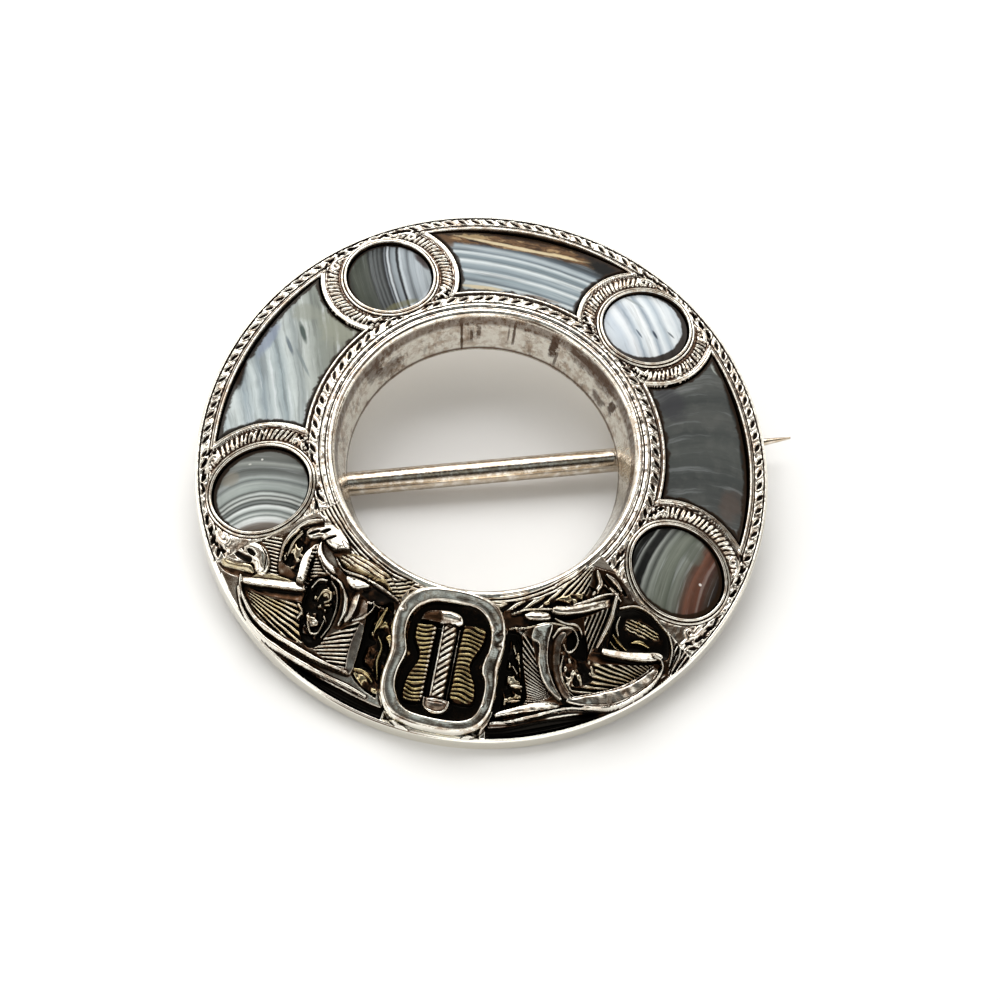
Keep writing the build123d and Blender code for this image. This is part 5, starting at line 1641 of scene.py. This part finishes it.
# Coordinate across the bands, colours by it, pitch and strengths of the fine lines and how much
# they wander, cloud, step of the oval whose edge it has (none for a panel), and patches, a few of
# them painted highlights
STONES = {
    "agate_panel_left": (left_bands, [
        (-18.0, (176, 186, 188)), (-17.0, (196, 204, 204)), (-16.2, (150, 162, 168)),
        (-15.4, (188, 197, 198)), (-14.8, (134, 146, 152)), (-14.0, (182, 191, 192)),
        (-13.2, (146, 158, 162)), (-12.4, (190, 198, 197)), (-11.6, (142, 150, 150)),
        (-10.8, (176, 182, 178)), (-9.6, (132, 138, 132)), (-7.5, (128, 130, 120)),
    ], (2.4, 0.34, 0.40, 0.55), 0.12, None, [
        spot(-12.6, 8.2, 1.5, 2.0, (140, 143, 130), 0.8),
        spot(-15.4, 9.0, 1.2, 0.8, (138, 142, 132), 0.7),
        spot(-17.7, 6.4, 0.5, 1.6, (128, 138, 158), 0.75, -14, 0.8),
        spot(-15.2, 7.2, 1.05, 0.20, (62, 74, 70), 0.95, -63, 0.5),
        spot(-15.95, 6.0, 0.95, 0.15, (96, 106, 114), 0.9, -60, 0.5),
        spot(-14.6, 4.6, 1.5, 0.12, (118, 128, 130), 0.8, -56, 0.5),
        spot(-18.7, 6.3, 2.2, 0.30, (30, 24, 20), 1.0, 68, 0.5),
        spot(-19.0, 3.2, 0.34, 1.4, (30, 24, 20), 1.0, 4, 0.6),
    ]),
    "agate_panel_top": (top_bands, [
        (12.6, (158, 162, 158)), (13.4, (140, 152, 158)), (13.75, (188, 196, 198)),
        (13.95, (98, 110, 118)), (14.25, (146, 158, 164)), (14.6, (128, 142, 148)),
        (14.9, (206, 212, 214)), (15.15, (118, 131, 138)), (15.6, (144, 156, 162)),
        (15.95, (206, 213, 215)), (16.2, (104, 117, 124)), (16.55, (134, 147, 153)),
        (16.8, (196, 204, 207)), (17.0, (106, 118, 126)), (17.3, (168, 178, 183)),
        (17.5, (146, 156, 162)), (17.7, (82, 92, 100)), (18.0, (66, 74, 80)), (19.4, (80, 84, 86)),
    ], (2.6, 0.30, 0.16, 0.12), 0.06, None, [
        amber_strip,
        spot(-1.0, 18.12, 5.4, 0.16, (206, 190, 156), 0.9, -1, 1.0),
        spot(-4.6, 18.6, 1.5, 0.42, (156, 134, 98), 0.85, 6, 0.9),
        spot(2.6, 18.15, 1.0, 0.16, (206, 188, 150), 0.9, -3, 0.8),
        spot(-0.8, 19.2, 3.2, 0.30, (50, 35, 23), 0.95, 0, 0.8),
        spot(4.3, 18.9, 1.7, 0.40, (24, 17, 12), 0.95, -12, 0.7),
        spot(-6.4, 17.6, 0.5, 0.9, (88, 64, 42), 0.9, 30, 1.0),
        spot(6.0, 17.7, 1.9, 1.0, (13, 11, 9), 1.0, -36, 0.5),
        spot(-2.8, 13.35, 1.6, 0.22, (196, 180, 146), 0.8, 5, 0.8),
        spot(1.6, 13.4, 1.4, 0.18, (96, 66, 40), 0.7, -4, 1.0),
    ]),
    "agate_panel_right": (right_bands, [
        (-6.0, (74, 76, 75)), (-2.0, (66, 69, 68)), (0.4, (78, 81, 79)), (1.6, (68, 71, 70)),
        (3.0, (82, 84, 82)), (4.4, (68, 71, 70)), (6.0, (86, 88, 86)), (8.0, (72, 75, 74)),
        (12.0, (64, 66, 64)),
    ], (1.6, 0.16, 0.10, 0.8), 0.16, None, [
        spot(18.3, 0.2, 0.9, 1.4, (96, 76, 66), 0.35),
        # Painted highlight: a small pale glint on the stone.
        spot(15.5, 11.0, 0.5, 0.16, (176, 182, 176), 0.7, -50, 1.2),
        spot(12.6, 7.0, 1.2, 1.5, (58, 58, 62), 0.7, 30, 1.0),
        spot(17.55, 8.2, 0.45, 2.4, (28, 29, 28), 0.9, 25, 0.7),
        spot(18.75, 4.4, 0.30, 2.6, (28, 29, 28), 0.9, 13, 0.7),
        spot(16.2, 11.4, 0.5, 1.2, (28, 29, 28), 0.8, 35, 0.7),
    ]),
    "agate_oval_lower_left": (lower_left_bands, [
        (-9.0, (92, 82, 74)), (-8.6, (110, 100, 92)), (-8.35, (134, 128, 122)),
        (-8.2, (224, 228, 228)), (-7.95, (226, 231, 230)), (-7.82, (118, 126, 124)),
        (-7.68, (214, 220, 218)), (-7.58, (150, 158, 156)), (-7.45, (104, 110, 108)),
        (-7.3, (196, 203, 201)), (-7.15, (226, 231, 230)), (-7.02, (66, 70, 68)),
        (-6.88, (132, 138, 136)), (-6.74, (70, 73, 71)), (-6.6, (208, 213, 210)),
        (-6.45, (78, 82, 80)), (-6.3, (196, 202, 199)), (-6.12, (84, 88, 86)),
        (-5.95, (158, 166, 163)), (-5.5, (166, 173, 170)), (-5.25, (104, 110, 109)),
        (-5.05, (156, 162, 160)), (-4.85, (124, 129, 127)), (-4.5, (84, 87, 85)),
        (-4.2, (108, 112, 109)), (-3.95, (142, 146, 142)), (-3.7, (92, 95, 92)),
        (-3.2, (104, 106, 102)), (-2.4, (80, 82, 79)), ], (2.2, 0.20, 0.14, 0.14), 0.10, -3, [
        spot(-17.6, -5.4, 0.7, 0.6, (136, 130, 118), 0.6, 30, 1.0),
        # The next two tiny pale specks are painted highlights.
        spot(-15.6, -3.75, 0.09, 0.09, (206, 206, 200), 0.9, 0, 0.3),
        spot(-16.4, -4.2, 0.12, 0.07, (190, 190, 184), 0.9, 10, 0.3),
    ]),
    "agate_oval_upper_left": (upper_left_bands, [
        (-10.4, (52, 55, 50)), (-9.4, (72, 76, 68)), (-8.8, (64, 68, 62)), (-8.4, (78, 82, 76)),
        *stripes(-8.2, -7.24, 0.16, (46, 48, 48), (92, 96, 97)), (-7.1, (34, 35, 38)),
        (-7.0, (116, 122, 128)), (-6.9, (30, 31, 34)), (-6.76, (196, 203, 209)),
        (-6.62, (34, 36, 40)), (-6.5, (124, 132, 138)), (-6.2, (142, 150, 156)),
        (-6.1, (26, 28, 31)), (-5.98, (40, 42, 46)), (-5.86, (184, 192, 198)),
        (-5.5, (146, 154, 160)), (-5.3, (96, 102, 107)), (-5.1, (152, 160, 166)),
        (-4.4, (166, 174, 180)), (-3.6, (156, 164, 168)), (-3.0, (136, 143, 146)), ],
                              (3.2, 0.26, 0.10, 0.22), 0.05, -1, [
        spot(-8.5, 10.5, 1.3, 0.28, (118, 116, 84), 0.6, 30, 1.0),
        spot(-7.8, 15.05, 0.34, 1.1, (44, 24, 18), 0.9, 42, 0.8),
    ]),
    "agate_oval_upper_right": (upper_right_bands, [
        (11.6, (214, 220, 226)), (13.0, (196, 206, 216)), (13.6, (226, 230, 234)),
        (14.1, (160, 172, 184)), (14.6, (220, 226, 230)), (15.1, (232, 236, 238)),
        (15.5, (150, 162, 174)), (16.0, (222, 228, 232)), (16.6, (172, 184, 194)),
        (17.2, (226, 231, 234)), (18.4, (190, 200, 208)), (19.6, (214, 220, 224)),
    ], (2.0, 0.22, 0.55, 0.5), 0.05, 1, [
        spot(10.6, 12.4, 0.42, 0.12, (40, 50, 66), 0.9, -52, 0.4),
        spot(9.4, 12.1, 0.42, 0.08, (84, 96, 112), 0.9, -48, 0.4),
        spot(11.8, 12.9, 0.35, 0.10, (92, 100, 106), 0.9, -30, 0.4),
        spot(8.6, 15.1, 0.9, 0.14, (150, 158, 160), 0.8, -25, 0.5),
    ]),
    "agate_oval_lower_right": (lower_right_bands, [
        (10.6, (24, 25, 24)), (11.15, (26, 27, 26)), (11.3, (70, 73, 70)), (11.42, (26, 27, 26)),
        (11.8, (28, 29, 28)), (11.92, (164, 168, 164)), (12.06, (58, 60, 58)),
        (12.2, (26, 27, 26)), (12.62, (27, 28, 27)), (12.76, (150, 154, 149)),
        (12.92, (112, 116, 111)), (13.1, (80, 84, 79)), (13.35, (130, 135, 128)),
        (13.7, (102, 107, 98)), (14.2, (116, 121, 111)), (14.7, (88, 93, 84)),
        (15.1, (118, 122, 114)), (15.45, (94, 96, 88)), (15.75, (90, 74, 64)),
        (16.1, (112, 76, 62)), (16.5, (90, 60, 48)), (16.85, (98, 64, 52)),
        (17.0, (130, 112, 104)), (17.12, (78, 50, 41)), (17.5, (66, 54, 47)), (17.8, (48, 40, 36)),
        (18.6, (32, 30, 28)), ], (2.8, 0.34, 0.16, 0.22), 0.10, 3, [
        spot(16.2, -4.4, 0.7, 0.8, (92, 96, 88), 0.7, 40, 1.0),
        # Painted highlight: a tiny pale glint.
        spot(16.95, -6.4, 0.12, 0.10, (232, 226, 220), 0.95, 0, 0.2),
    ]),
}


# Stage

CAMERA_TURN = 3.25  # degrees round the brooch
CAMERA_RISE = 67.17  # degrees above the plane of its back
CAMERA_ROLL = -8.263
CAMERA_SHIFT = (1.5624, -2.4675)
CAMERA_REACH = 132.9
CAMERA_LENS = 65.24
CAMERA_SENSOR = 36
CAMERA_CLIP = (0.005, 20)

# Surroundings: where the dark patch lies, and the brightness by angle from it and by chance
DARK_TOWARD = (0.05, -0.28, 0.96)
SKY_BY_ANGLE = [
    (0.0, (1, 1, 1)), (0.70, (1, 1, 1)), (0.84, (0.50, 0.48, 0.46)), (0.90, (0.07, 0.065, 0.06)),
    (0.955, (0.06, 0.06, 0.06)), (0.978, (0.27, 0.30, 0.31)), (1.0, (0.34, 0.37, 0.38)),
]
SKY_BY_CHANCE = [(0.41, (0.12, 0.09, 0.07)), (0.47, (0.55, 0.48, 0.42)), (0.51, (1.55, 1.55, 1.5))]
SKY_STRENGTH = 1.0
LAMP_PLACE = (-0.12, 0.30, 0.38)  # metres
LAMP_SIZE = 0.45
LAMP_POWER = 1.8
FLOOR_SIZE = 4


def to_frame(vector):
    """A direction of the brooch in the resting frame."""
    return (LYING.to_3x3() @ Vector(vector)).normalized()


def camera_of_photo():
    """Camera that sees the brooch as the photo does."""
    turn, rise, roll = radians(CAMERA_TURN), radians(CAMERA_RISE), radians(CAMERA_ROLL)
    u = Vector((cos(turn), sin(turn), 0))
    v = Vector((-sin(turn) * sin(rise), cos(turn) * sin(rise), cos(rise)))
    back = Vector((sin(turn) * cos(rise), -cos(turn) * cos(rise), sin(rise)))
    middle = Vector((0, 0, EDGE_HEIGHT))
    eye = middle + u * CAMERA_SHIFT[0] + v * CAMERA_SHIFT[1] + back * CAMERA_REACH
    right = u * cos(roll) - v * sin(roll)
    up = u * sin(roll) + v * cos(roll)
    bpy.ops.object.camera_add()
    camera = bpy.context.object
    camera.name = "photo_camera"
    axes = Matrix([to_frame(axis) for axis in (right, up, back)]).transposed()
    camera.matrix_world = Matrix.Translation(LYING @ eye) @ axes.to_4x4()
    camera.data.sensor_width = CAMERA_SENSOR
    camera.data.lens = CAMERA_LENS
    camera.data.clip_start, camera.data.clip_end = CAMERA_CLIP
    bpy.context.scene.camera = camera


def soft_light(name):
    """Large pale lamp behind and above the brooch."""
    place = Vector(LAMP_PLACE)
    bpy.ops.object.light_add(type="AREA", location=place)
    lamp = bpy.context.object
    lamp.name = name
    lamp.data.shape = "SQUARE"
    lamp.data.size = LAMP_SIZE
    lamp.data.energy = LAMP_POWER
    lamp.rotation_euler = (-place).to_track_quat("-Z", "Y").to_euler()


def studio_sky():
    """Pale uneven surroundings, with a dark soft patch overhead, where the camera stands."""
    world = bpy.data.worlds.new("studio")
    bpy.context.scene.world = world
    world.use_nodes = True
    tree = world.node_tree
    nodes, links = tree.nodes, tree.links
    ray = nodes.new("ShaderNodeTexCoord")
    dot = nodes.new("ShaderNodeVectorMath")
    dot.operation = "DOT_PRODUCT"
    dot.inputs[1].default_value = Vector(DARK_TOWARD).normalized()
    links.new(ray.outputs["Generated"], dot.inputs[0])
    ramp = sky_ramp(nodes, SKY_BY_ANGLE)
    links.new(dot.outputs["Value"], ramp.inputs[0])
    uneven = nodes.new("ShaderNodeTexNoise")
    uneven.inputs["Scale"].default_value = 2.2
    uneven.inputs["Detail"].default_value = 1.0
    links.new(ray.outputs["Generated"], uneven.inputs["Vector"])
    rooms = sky_ramp(nodes, SKY_BY_CHANCE)
    links.new(uneven.outputs["Fac"], rooms.inputs[0])
    both = nodes.new("ShaderNodeMix")
    both.data_type = "RGBA"
    both.blend_type = "MULTIPLY"
    both.inputs[MIX_SHARE].default_value = 1.0
    links.new(ramp.outputs[0], both.inputs[MIX_FIRST])
    links.new(rooms.outputs[0], both.inputs[MIX_LAST])
    links.new(both.outputs[MIX_COLOUR], nodes["Background"].inputs["Color"])
    nodes["Background"].inputs["Strength"].default_value = SKY_STRENGTH


def sky_ramp(nodes, steps):
    """Ramp of brightness through the given steps."""
    ramp = nodes.new("ShaderNodeValToRGB")
    bar = ramp.color_ramp
    bar.elements.remove(bar.elements[1])
    bar.elements[0].position = steps[0][0]
    bar.elements[0].color = (*steps[0][1], 1)
    for place, level in steps[1:]:
        bar.elements.new(place).color = (*level, 1)
    return ramp


# Add-on


class BroochLook(bpy.types.PropertyGroup):
    """Colours and sizes of the dressing."""

    silver: bpy.props.FloatVectorProperty(
        name="Silver", description="Bright silver", subtype="COLOR", size=4,
        default=(0.88, 0.85, 0.77, 1.0), min=0, max=1,
    )
    warm_silver: bpy.props.FloatVectorProperty(
        name="Warm silver", description="Silver with a first breath of tarnish", subtype="COLOR",
        size=4, default=(0.46, 0.35, 0.26, 1.0), min=0, max=1,
    )
    # Also colours the polished hollow, as painted dark reflection.
    tarnish: bpy.props.FloatVectorProperty(
        name="Tarnish", description="Blackened silver in the hollows", subtype="COLOR", size=4,
        default=(0.008, 0.007, 0.006, 1.0), min=0, max=1,
    )
    # Also colours the edges of the polished hollow and some facets, as painted dark reflection.
    brown_tarnish: bpy.props.FloatVectorProperty(
        name="Brown tarnish", description="Brown of the thinner tarnish", subtype="COLOR", size=4,
        default=(0.062, 0.030, 0.015, 1.0), min=0, max=1,
    )
    gilt: bpy.props.FloatVectorProperty(
        name="Gilding", description="Gilding left in the cast work", subtype="COLOR", size=4,
        default=(0.36, 0.26, 0.09, 1.0), min=0, max=1,
    )
    pale_gilt: bpy.props.FloatVectorProperty(
        name="Rubbed gilding", description="Gilding where it is rubbed", subtype="COLOR", size=4,
        default=(0.60, 0.51, 0.27, 1.0), min=0, max=1,
    )
    # This brown also paints the shade under the collar's lip, besides its stains.
    collar_stain_and_shade: bpy.props.FloatVectorProperty(
        name="Collar stain", description="Brown stain down the collar", subtype="COLOR", size=4,
        default=(0.12, 0.07, 0.045, 1.0), min=0, max=1,
    )
    pin: bpy.props.FloatVectorProperty(
        name="Pin", description="Warm metal of the pin", subtype="COLOR", size=4,
        default=(0.50, 0.41, 0.31, 1.0), min=0, max=1,
    )
    pin_worn: bpy.props.FloatVectorProperty(
        name="Worn pin", description="Pin where its colour is worn", subtype="COLOR", size=4,
        default=(0.72, 0.67, 0.60, 1.0), min=0, max=1,
    )
    bezel_wire: bpy.props.FloatProperty(
        name="Bezel wire", description="Radius of the wire round each oval stone",
        default=0.0001, min=0.00005, max=0.0003, unit="LENGTH",
    )
    floor_grey: bpy.props.FloatProperty(
        name="Floor", description="How pale the floor is", default=0.93, min=0, max=1,
        subtype="FACTOR",
    )


def dress(piece, material, body, slot_name, *nodes):
    """Gives a piece its finish and ties it to the frame."""
    piece.data.materials.clear()
    piece.data.materials.append(material)
    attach(piece, body)
    if nodes:
        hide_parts(*nodes)


def silvered(context, *pieces):
    """Gives pieces of the frame the finish that they all share."""
    silver = bpy.data.materials.get("old_silver") or silver_look(context.scene.brooch_look)
    for piece in pieces:
        dress(piece, silver, "brooch", "silver", "silver_frame")
    return silver


def refinish(name, material):
    """Gives a solid of the frame another finish, and leaves it where it is."""
    node = frame["nodes"][name]
    node.data.materials.clear()
    node.data.materials.append(material)


class BROOCH_OT_ring(bpy.types.Operator):
    """Adds the front of the ring with its engraved and cast work, and its back"""

    bl_idname = "brooch.ring"
    bl_label = "Ring"

    def execute(self, context):
        silvered(context, *[front_sheet(*sheet) for sheet in SHEETS], flat_back("ring_back"))
        return {"FINISHED"}


class BROOCH_OT_rims(bpy.types.Operator):
    """Adds the wires round the stones"""

    bl_idname = "brooch.rims"
    bl_label = "Stone rims"

    def execute(self, context):
        radius = context.scene.brooch_look.bezel_wire / MM
        wires = []
        for step in OVAL_STEPS:
            for margin, lift, share in BEZEL_WIRES:
                wires.append(oval_rim(step, margin, lift, radius * share))
        silvered(context, joined("bezel_wires", wires))
        silvered(context, joined("panel_wires", [panel_rim(step) for step in PANEL_STEPS]))
        return {"FINISHED"}


class BROOCH_OT_buckle(bpy.types.Operator):
    """Adds the strap buckle's frame and what lies in it"""

    bl_idname = "brooch.buckle"
    bl_label = "Buckle"

    def execute(self, context):
        silvered(context, joined("buckle_frame", [buckle_frame()]), well_sheet("buckle_inlay"))
        return {"FINISHED"}


class BROOCH_OT_fittings(bpy.types.Operator):
    """Adds the hinge's lugs and the catch, and finishes the pin and its rivet"""

    bl_idname = "brooch.fittings"
    bl_label = "Pin fittings"

    def execute(self, context):
        lugs = joined("hinge_lugs", [hinge_lug(-1), hinge_lug(1)])
        silver = silvered(context, lugs, joined("catch", catch_curl()))
        refinish("pin", pin_look(context.scene.brooch_look))
        refinish("hinge_rivet", silver)
        return {"FINISHED"}


class BROOCH_OT_stones(bpy.types.Operator):
    """Gives the seven agates their bands"""

    bl_idname = "brooch.stones"
    bl_label = "Agates"

    def execute(self, context):
        for name, (bands, stops, threads, cloud, step, extras) in STONES.items():
            edge = panel_edge(PANELS[name]) if name in PANELS else oval_edge(step)
            refinish(name, agate(name, bands, stops, threads, cloud, edge, extras))
        return {"FINISHED"}


class BROOCH_OT_stage(bpy.types.Operator):
    """Adds the floor, the lights and the camera"""

    bl_idname = "brooch.stage"
    bl_label = "Stage"

    def execute(self, context):
        bpy.ops.mesh.primitive_plane_add(size=FLOOR_SIZE)
        floor = context.object
        floor.name = "floor"
        paper = Look("pale_floor", 0.9)
        grey = context.scene.brooch_look.floor_grey
        paper.shader.inputs["Base Color"].default_value = (grey, grey, grey, 1)
        floor.data.materials.append(paper.material)
        soft_light("high_light")
        studio_sky()
        camera_of_photo()
        context.scene.view_settings.view_transform = "Standard"
        return {"FINISHED"}


class BROOCH_PT_panel(bpy.types.Panel):
    """Lists the brooch's pieces and finishes"""

    bl_idname = "BROOCH_PT_panel"
    bl_label = "Pebble brooch"
    bl_space_type = "VIEW_3D"
    bl_region_type = "UI"
    bl_category = "Brooch"

    def draw(self, context):
        for operator in OPERATORS:
            self.layout.operator(operator.bl_idname)
        for name in BroochLook.__annotations__:
            self.layout.prop(context.scene.brooch_look, name)


OPERATORS = (
    BROOCH_OT_ring, BROOCH_OT_rims, BROOCH_OT_buckle, BROOCH_OT_fittings, BROOCH_OT_stones,
    BROOCH_OT_stage,
)
CLASSES = (BroochLook, *OPERATORS, BROOCH_PT_panel)


def register():
    for made in CLASSES:
        bpy.utils.register_class(made)
    bpy.types.Scene.brooch_look = bpy.props.PointerProperty(type=BroochLook)


def unregister():
    del bpy.types.Scene.brooch_look
    for made in reversed(CLASSES):
        bpy.utils.unregister_class(made)


def main():
    register()
    bpy.ops.brooch.ring()
    bpy.ops.brooch.rims()
    bpy.ops.brooch.buckle()
    bpy.ops.brooch.fittings()
    bpy.ops.brooch.stones()
    bpy.ops.brooch.stage()


if __name__ == "__main__":
    main()
